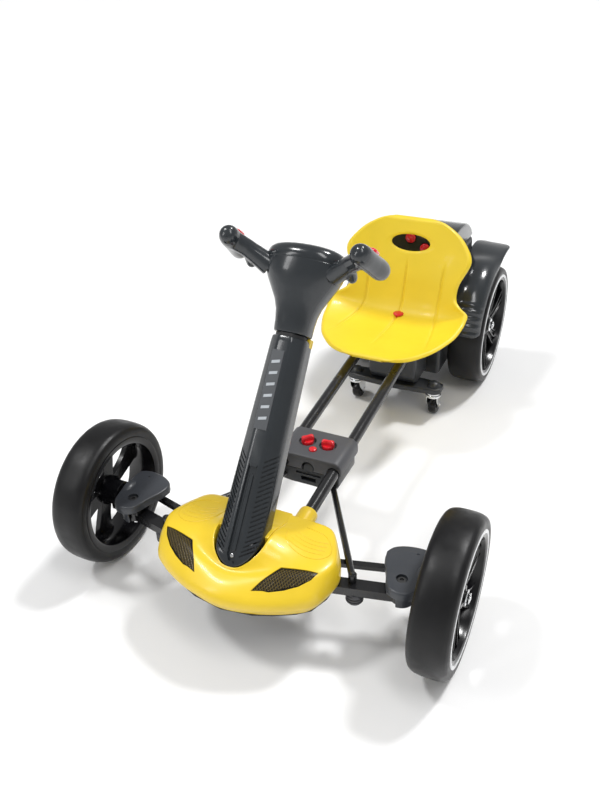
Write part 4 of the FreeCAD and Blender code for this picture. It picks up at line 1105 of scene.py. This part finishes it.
def makeKnuckleCover(side):
    sign = sides[side]
    body = f"knuckle_{side}"
    outline = smoothLine(kneeShape["outline"] + kneeShape["outline"][:1], 66)[:-1]
    middle = Vector((218, 0))
    kingX, kingY = kneeShape["kingpin"]
    mesh = bmesh.new()
    rings = []
    for level, grow in ((124.5, -2.6), (124.5, 0), (133.5, 0.0), (135.6, -0.7), (136.6, -1.9), (137.0, -3.6)):
        ring = []
        for x, y in outline:
            out = Vector((x, y)) - middle
            at = middle + out * (1 + grow / out.length)
            ring.append(kartPoint(at.x * sign, at.y, level))
        rings.append(ring)
    loft(mesh, rings)
    cover = pieceFrom(mesh, f"knuckleCover_{side}", body, kneeGrey,
                      [f"knuckle_cover_{side}"], 50)
    mesh = bmesh.new()
    tube(mesh, kartPoint(kingX * sign, kingY, 131.5), kartPoint(kingX * sign, kingY, 140), 8.2, 40)
    tube(mesh, kartPoint(224 * sign, 30, 136), kartPoint(224 * sign, 30, 140), 2.2, 20)
    carve(cover, mesh, 40)
    # hexagon head in the well
    mesh = bmesh.new()
    tube(mesh, kartPoint(kingX * sign, kingY, 131.4), kartPoint(kingX * sign, kingY, 134.6), 6.4, 36)
    screw = pieceFrom(mesh, f"kneeScrew_{side}", body, softBlack)
    addBevel(screw, 0.7, 2)
    applied(screw)
    mesh = bmesh.new()
    tube(mesh, kartPoint(kingX * sign, kingY, 132.4), kartPoint(kingX * sign, kingY, 137), 3.3, 6)
    carve(screw, mesh, 30)
    # skirt round the outer side of the kingpin boss
    mesh = bmesh.new()
    openFrom, openTo = math.radians(-94), math.radians(94)
    ring = []
    for radius, order in ((20.5, 1), (17.2, -1)):
        arc = [openFrom + (openTo - openFrom) * step / 20 for step in range(21)][::order]
        ring += [(kingX + radius * math.cos(turn), kingY + radius * math.sin(turn)) for turn in arc]
    prism(mesh, [(x * sign, y) for x, y in ring], 101.5, 125)
    skirt = pieceFrom(mesh, f"kneeSkirt_{side}", body, kneeGrey)
    addBevel(skirt, 1.0, 2, 40)
    # round shroud that faces the wheel
    mesh = bmesh.new()
    spun(mesh, [(9, 231), (20, 231), (23.5, 233.5), (25.6, 238), (26, 244.5), (24.6, 246), (9, 246),
                (9, 231)], kartPoint(0, 0, frontWheelAt.z / mm), Vector((sign, 0, 0)), zAxis, 56)
    pieceFrom(mesh, f"kneeShroud_{side}", body, kneeGrey, shadeAngle=40)
    # washer, nut and threaded end on the stub axle
    out = Vector((sign, 0, 0))
    wheel = Vector((abs(frontWheelAt.x) * sign, frontWheelAt.y, frontWheelAt.z))
    mesh = bmesh.new()
    tube(mesh, wheel + out * 22.2 * mm, wheel + out * 23.6 * mm, 11.5, 40)
    tube(mesh, wheel + out * 23.6 * mm, wheel + out * 27.4 * mm, 8.2, 6)
    tube(mesh, wheel + out * 23.6 * mm, wheel + out * 28.4 * mm, 4.2, 24, 3.6)
    bolt = pieceFrom(mesh, f"axleBolt_{side}", body, chrome, [f"axle_bolt_{side}"])
    addBevel(bolt, 0.5, 2)
    # dome nut on top of the beam where the brace ends
    mesh = bmesh.new()
    braceX, braceY = 151 * sign, -33
    tube(mesh, kartPoint(braceX, braceY, 126), kartPoint(braceX, braceY, 128.4), 4.4, 6)
    dome = bmesh.ops.create_uvsphere(mesh, u_segments=20, v_segments=12, radius=3.2 * mm)["verts"]
    for vert in dome:
        vert.co += kartPoint(braceX, braceY, 128)
    nut = pieceFrom(mesh, f"braceNut_{side}", "front_frame", blackSteel)
    addBevel(nut, 0.4, 2)


for side in sides:
    makeKnuckleCover(side)
    # ribbed rubber foot under the beam
    low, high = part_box("bump_feet")
    footX, footY = 156 * sides[side], -37
    bottom, top = low.z / mm, high.z / mm
    profile = [(0.01, bottom), (10, bottom), (10.8, bottom + 1.2)]
    for rib in range(3):
        level = bottom + 3 + rib * 4.4
        profile += [(10.6, level), (12.6, level + 0.8), (12.6, level + 2.4), (10.6, level + 3.2)]
    profile += [(10.4, top), (0.01, top)]
    mesh = bmesh.new()
    spun(mesh, profile, kartPoint(footX, footY, 0), zAxis, xAxis, 44)
    pieceFrom(mesh, f"bumpFoot_{side}", "front_frame", greyCase,
              ["bump_feet"] if side == "left" else (), 50)
print("knuckles ready")

# rear box, lid and buttons
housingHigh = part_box("rear_housing")[1]


# pads a side-view outline of (y, z) across the kart
def sideView(mesh, outline, half):
    loft(mesh, [[kartPoint(x, y, z) for y, z in outline] for x in (-half, half)])


boxHalf = housingHigh.x / mm
mesh = bmesh.new()
sideView(mesh, [(645, 60.2), (868, 60.2), (871.6, 180), (851, 299), (691, 299), (677, 236), (645.4, 190)],
         boxHalf)
housing = pieceFrom(mesh, "rearHousing", "rear_unit", darkCase, ["rear_housing"])
addBevel(housing, 9, 5, 20)
mesh = bmesh.new()
sideView(mesh, [(690.3, 300), (849.8, 300), (843, 310), (832, 321.6), (817, 332.4), (800, 340.6),
                (780, 347.2), (760, 351.6), (734, 354), (706, 354.8), (690.3, 350)], boxHalf)
lid = pieceFrom(mesh, "housingLid", "rear_unit", graphite, ["housing_lid"])
addBevel(lid, 15, 7, 25)
applied(lid)
buttonPlaces = {"low": (17, 317), "high": (-14, 336)}
mesh = bmesh.new()
for x, z in buttonPlaces.values():
    tube(mesh, kartPoint(x, 680, z), kartPoint(x, 694.5, z), 12.2, 48)
carve(lid, mesh, 35)
for name, (x, z) in buttonPlaces.items():
    mesh = bmesh.new()
    spun(mesh, [(0.01, 686.6), (5.4, 686.8), (6.2, 687.6), (8.4, 687.2), (9.4, 687.8), (10.3, 689.2),
                (10.3, 691.8), (0.01, 691.8)], kartPoint(x, 0, z), yAxis, xAxis, 44)
    pieceFrom(mesh, f"driveButton_{name}", f"drive_switch_{name}", redGloss,
              [f"drive_button_{name}"], 50)
mesh = bmesh.new()
for side in sides:
    sign = sides[side]
    out = Vector((sign, 0, 0))
    wheel = Vector((abs(rearWheelAt.x) * sign, rearWheelAt.y, rearWheelAt.z))
    tube(mesh, wheel - out * 45 * mm, wheel + out * 26 * mm, 7.9, 40)
    tube(mesh, wheel + out * 25.2 * mm, wheel + out * 26.6 * mm, 14, 40)
    tube(mesh, wheel + out * 26.6 * mm, wheel + out * 31.4 * mm, 9, 6)
    tube(mesh, wheel + out * 26.6 * mm, wheel + out * 33 * mm, 5, 24)
axle = pieceFrom(mesh, "rearAxle", "rear_unit", chrome, ["rear_axle"])
addBevel(axle, 0.5, 2)

# fenders
fenderShape = {"from": 168, "to": 50, "gap": 7, "wall": 4.4, "inner": 76.2, "outer": 151.3, "along": 150,
               "across": 24, "flare": 50, "crown": 15, "rib": 4.2}


# a soft step from 0 to 1 between two values
def softStep(value, low, high):
    part = min(1, max(0, (value - low) / (high - low)))
    return part * part * (3 - 2 * part)


# distance from the axle: ribs in front, a bulge over the wheel, a valley and a flared tail
def fenderReach(angle, share):
    flare = fenderShape["flare"] * (max(0, 100 - angle) / 50) ** 1.6
    middle = 1 - abs(2 * share - 1) ** 2.2
    crown = fenderShape["crown"] * middle * softStep(angle, 74, 100) * min(1, (171 - angle) / 14)
    ribZone = min(1, max(0, (angle - 138) / 5)) * min(1, max(0, (171 - angle) / 3))
    wave = 0.5 + 0.5 * math.cos((angle - 140) / 6.2 * 2 * math.pi)
    ribs = fenderShape["rib"] * ribZone * wave * math.sin(math.pi * share) ** 0.4
    turnDown = 9 * max(0, (share - 0.84) / 0.16) ** 2 * softStep(angle, 60, 84)
    innerRise = 4 * (1 - share) ** 1.5 * softStep(84 - angle, 0, 24)
    return rearWheel["radius"] + fenderShape["gap"] + flare + crown + ribs - turnDown + innerRise


def makeFender(side):
    sign = sides[side]
    mesh = bmesh.new()
    bmesh.ops.create_grid(mesh, x_segments=fenderShape["across"], y_segments=fenderShape["along"], size=0.5)
    for vert in mesh.verts:
        share, along = vert.co.x + 0.5, vert.co.y + 0.5
        corner = (max(0, abs(2 * share - 1) - 0.6) / 0.4) ** 2
        start, end = fenderShape["from"] - 4 * corner, fenderShape["to"] + 7 * corner
        angle = start + (end - start) * along
        reach = fenderReach(angle, share)
        turn = math.radians(angle)
        x = fenderShape["inner"] + (fenderShape["outer"] - fenderShape["inner"]) * share
        vert.co = Vector((x * sign * mm, rearWheelAt.y + reach * math.cos(turn) * mm,
                          rearWheelAt.z + reach * math.sin(turn) * mm))
    made = pieceFrom(mesh, f"fender_{side}", "rear_unit", graphite, [f"fender_{side}"], 0)
    inward = made.data.vertices[len(made.data.vertices) // 2]
    outward = (inward.co - Vector((inward.co.x, rearWheelAt.y, rearWheelAt.z))).dot(inward.normal) > 0
    addWall(made, fenderShape["wall"], -1.0 if outward else 1.0)
    addSubdivision(made, 1)


for side in sides:
    makeFender(side)
print("rear box ready")

# caster beam and casters
forkAt = boxMiddle("caster_wheel_right")
casterX, casterZ = forkAt.x / mm, forkAt.z / mm
casterY = (forkAt.y - frontWheelAt.y) / mm
swivelY = casterY - 14
mesh = bmesh.new()
sideView(mesh, [(561, 92), (575, 72), (645, 72), (645, 190), (638, 202), (580, 202), (561, 180)], 50)
pedestal = pieceFrom(mesh, "pedestal", "rear_unit", darkCase, ["caster_beam"])
addBevel(pedestal, 6, 4, 25)
mesh = bmesh.new()
half = [(101.5, swivelY - 12), (101.5, swivelY + 12), (92, swivelY + 18), (60, swivelY + 22),
        (0, swivelY + 24)]
front = [(0, swivelY - 24), (60, swivelY - 21), (92, swivelY - 18)]
outline = half + [(-x, y) for x, y in half[-2::-1]] + [(-x, y) for x, y in front[::-1]] + front[1:]
prism(mesh, outline, 58.5, 71)
crossPiece = pieceFrom(mesh, "casterBridge", "rear_unit", darkCase)
addBevel(crossPiece, 3, 3, 30)
for side in sides:
    sign = sides[side]
    at = kartPoint(casterX * sign, swivelY, 0)
    mesh = bmesh.new()
    spun(mesh, [(0.01, 80), (6, 79.6), (10, 77.5), (13, 73.5), (14.5, 69), (14.5, 59), (6, 59)], at,
         zAxis, xAxis, 44)
    pieceFrom(mesh, f"casterDome_{side}", "rear_unit", darkCase, shadeAngle=50)
    mesh = bmesh.new()
    spun(mesh, [(5, 57.6), (12.6, 57.6), (14.2, 56.6), (14.6, 54.8), (14.2, 53.4), (12.4, 52.6), (15.8, 51.6),
                (16.4, 49.6), (15.6, 47.6), (5, 46.8)], at, zAxis, xAxis, 48)
    pieceFrom(mesh, f"casterRing_{side}", f"caster_{side}", chrome, [f"caster_fork_{side}"], 50)
    mesh = bmesh.new()
    for across in (-1, 1):
        leg = [(swivelY - 11, 48), (swivelY + 12, 48), (casterY + 7, 26), (casterY + 6, 17), (casterY, 13.4),
               (casterY - 6, 16), (swivelY - 7, 34)]
        inner, outer = sorted((across * 10.2, across * 12.4))
        loft(mesh, [[kartPoint(casterX * sign + x, y, z) for y, z in smoothLine(leg + leg[:1], 36)[:-1]]
                    for x in (inner, outer)])
    tube(mesh, kartPoint(casterX * sign - 13.4, casterY, casterZ),
         kartPoint(casterX * sign + 13.4, casterY, casterZ), 2.9, 24)
    legs = pieceFrom(mesh, f"casterFork_{side}", f"caster_{side}", chrome)
    addBevel(legs, 0.6, 2)
    mesh = bmesh.new()
    spun(mesh, [(3.3, -9), (9, -9), (10, -8), (14.5, -8), (17.6, -8.2), (19.4, -6.4), (20, -3), (20, 3),
                (19.4, 6.4), (17.6, 8.2), (14.5, 8), (10, 8), (9, 9), (3.3, 9)],
         kartPoint(casterX * sign, casterY, casterZ), xAxis, zAxis, 56)
    pieceFrom(mesh, f"casterWheel_{side}", f"caster_roller_{side}", wheelBlack,
              [f"caster_wheel_{side}"], 40)
print("casters ready")

# CAD pieces that keep their shape
keptFinishes = {"black_steel": blackSteel, "chrome": chrome, "cover_plastic": softBlack,
                "battery_case": softBlack, "grey_plastic": darkCase}
slotOf = {part["node"]: part["material_slot"] for part in record["subparts"]}
for name, node in frame["nodes"].items():
    wanted = keptFinishes.get(slotOf.get(name))
    if wanted and node.type == "MESH" and node.material_slots:
        for place in node.material_slots:
            place.material = wanted

# floor, lights and camera
stageShape = {"floor": 30.0, "camera": (0.4332, -0.7669, 0.9035), "azimuth": 25.79, "elevation": 32.09,
              "roll": -1.62, "lens": 35.35}
mesh = bmesh.new()
bmesh.ops.create_grid(mesh, x_segments=1, y_segments=1, size=stageShape["floor"])
data = bpy.data.meshes.new("floor")
mesh.to_mesh(data)
mesh.free()
floor = placed("floor", data)
floorMaterial = bpy.data.materials.new("paleFloor")
floorMaterial.use_nodes = True
floorShader = floorMaterial.node_tree.nodes["Principled BSDF"]
setSockets(floorShader, {"Base Color": (0.93, 0.93, 0.93, 1), "Roughness": 0.6, "Specular IOR Level": 0.2})
data.materials.append(floorMaterial)
world = bpy.data.worlds.new("studio")
bpy.context.scene.world = world
world.use_nodes = True
world.node_tree.nodes["Background"].inputs["Color"].default_value = (1, 1, 1, 1)
sky = world.node_tree
direction = nodeOf(sky, "ShaderNodeTexCoord")
split = nodeOf(sky, "ShaderNodeSeparateXYZ")
link(sky, direction, "Generated", split, "Vector")
glow = rangeFrom(sky, split, "Z", 0.66, 0.38, 0.0, 0.34)
link(sky, glow, "Result", sky.nodes["Background"], "Strength")


def softBox(name, place, target, size, power):
    light = bpy.data.lights.new(name, "AREA")
    light.shape = "RECTANGLE"
    light.size, light.size_y = size
    light.energy = power
    holder = placed(name, light)
    holder.location = place
    holder.rotation_euler = (Vector(target) - Vector(place)).to_track_quat("-Z", "Y").to_euler()


# an even lamp from the given direction, with shadows softened by spread degrees
def sunFrom(name, direction, strength, spread):
    light = bpy.data.lights.new(name, "SUN")
    light.energy = strength
    light.angle = math.radians(spread)
    holder = placed(name, light)
    holder.rotation_euler = Vector(direction).to_track_quat("Z", "Y").to_euler()


sunFrom("rearRightLamp", (0.32, 0.5, 1.0), 1.8, 9)
sunFrom("sideLeftLamp", (-0.51, -0.2, 1.0), 0.95, 9)
softBox("topBox", (0.9, -0.9, 2.6), (0, 0, 0.2), (0.5, 1.4), 16)
softBox("frontBox", (-1.4, -2.0, 1.8), (0, 0, 0.3), (0.4, 1.2), 10)

cameraData = bpy.data.cameras.new("camera")
cameraData.lens = stageShape["lens"]
cameraData.sensor_width = 36
camera = placed("camera", cameraData)
turn, rise = math.radians(stageShape["azimuth"]), math.radians(stageShape["elevation"])
roll = math.radians(stageShape["roll"])
backward = Vector((math.sin(turn) * math.cos(rise), -math.cos(turn) * math.cos(rise), math.sin(rise)))
level = Vector((math.cos(turn), math.sin(turn), 0))
upright = backward.cross(level)
right = level * math.cos(roll) + upright * math.sin(roll)
above = backward.cross(right)
spot = stageShape["camera"]
place = Matrix.Translation((spot[0], frontWheelAt.y + spot[1], spot[2]))
camera.matrix_world = place @ Matrix((right, above, backward)).transposed().to_4x4()
bpy.context.scene.camera = camera
bpy.context.scene.view_settings.view_transform = "Standard"
print("stage ready")
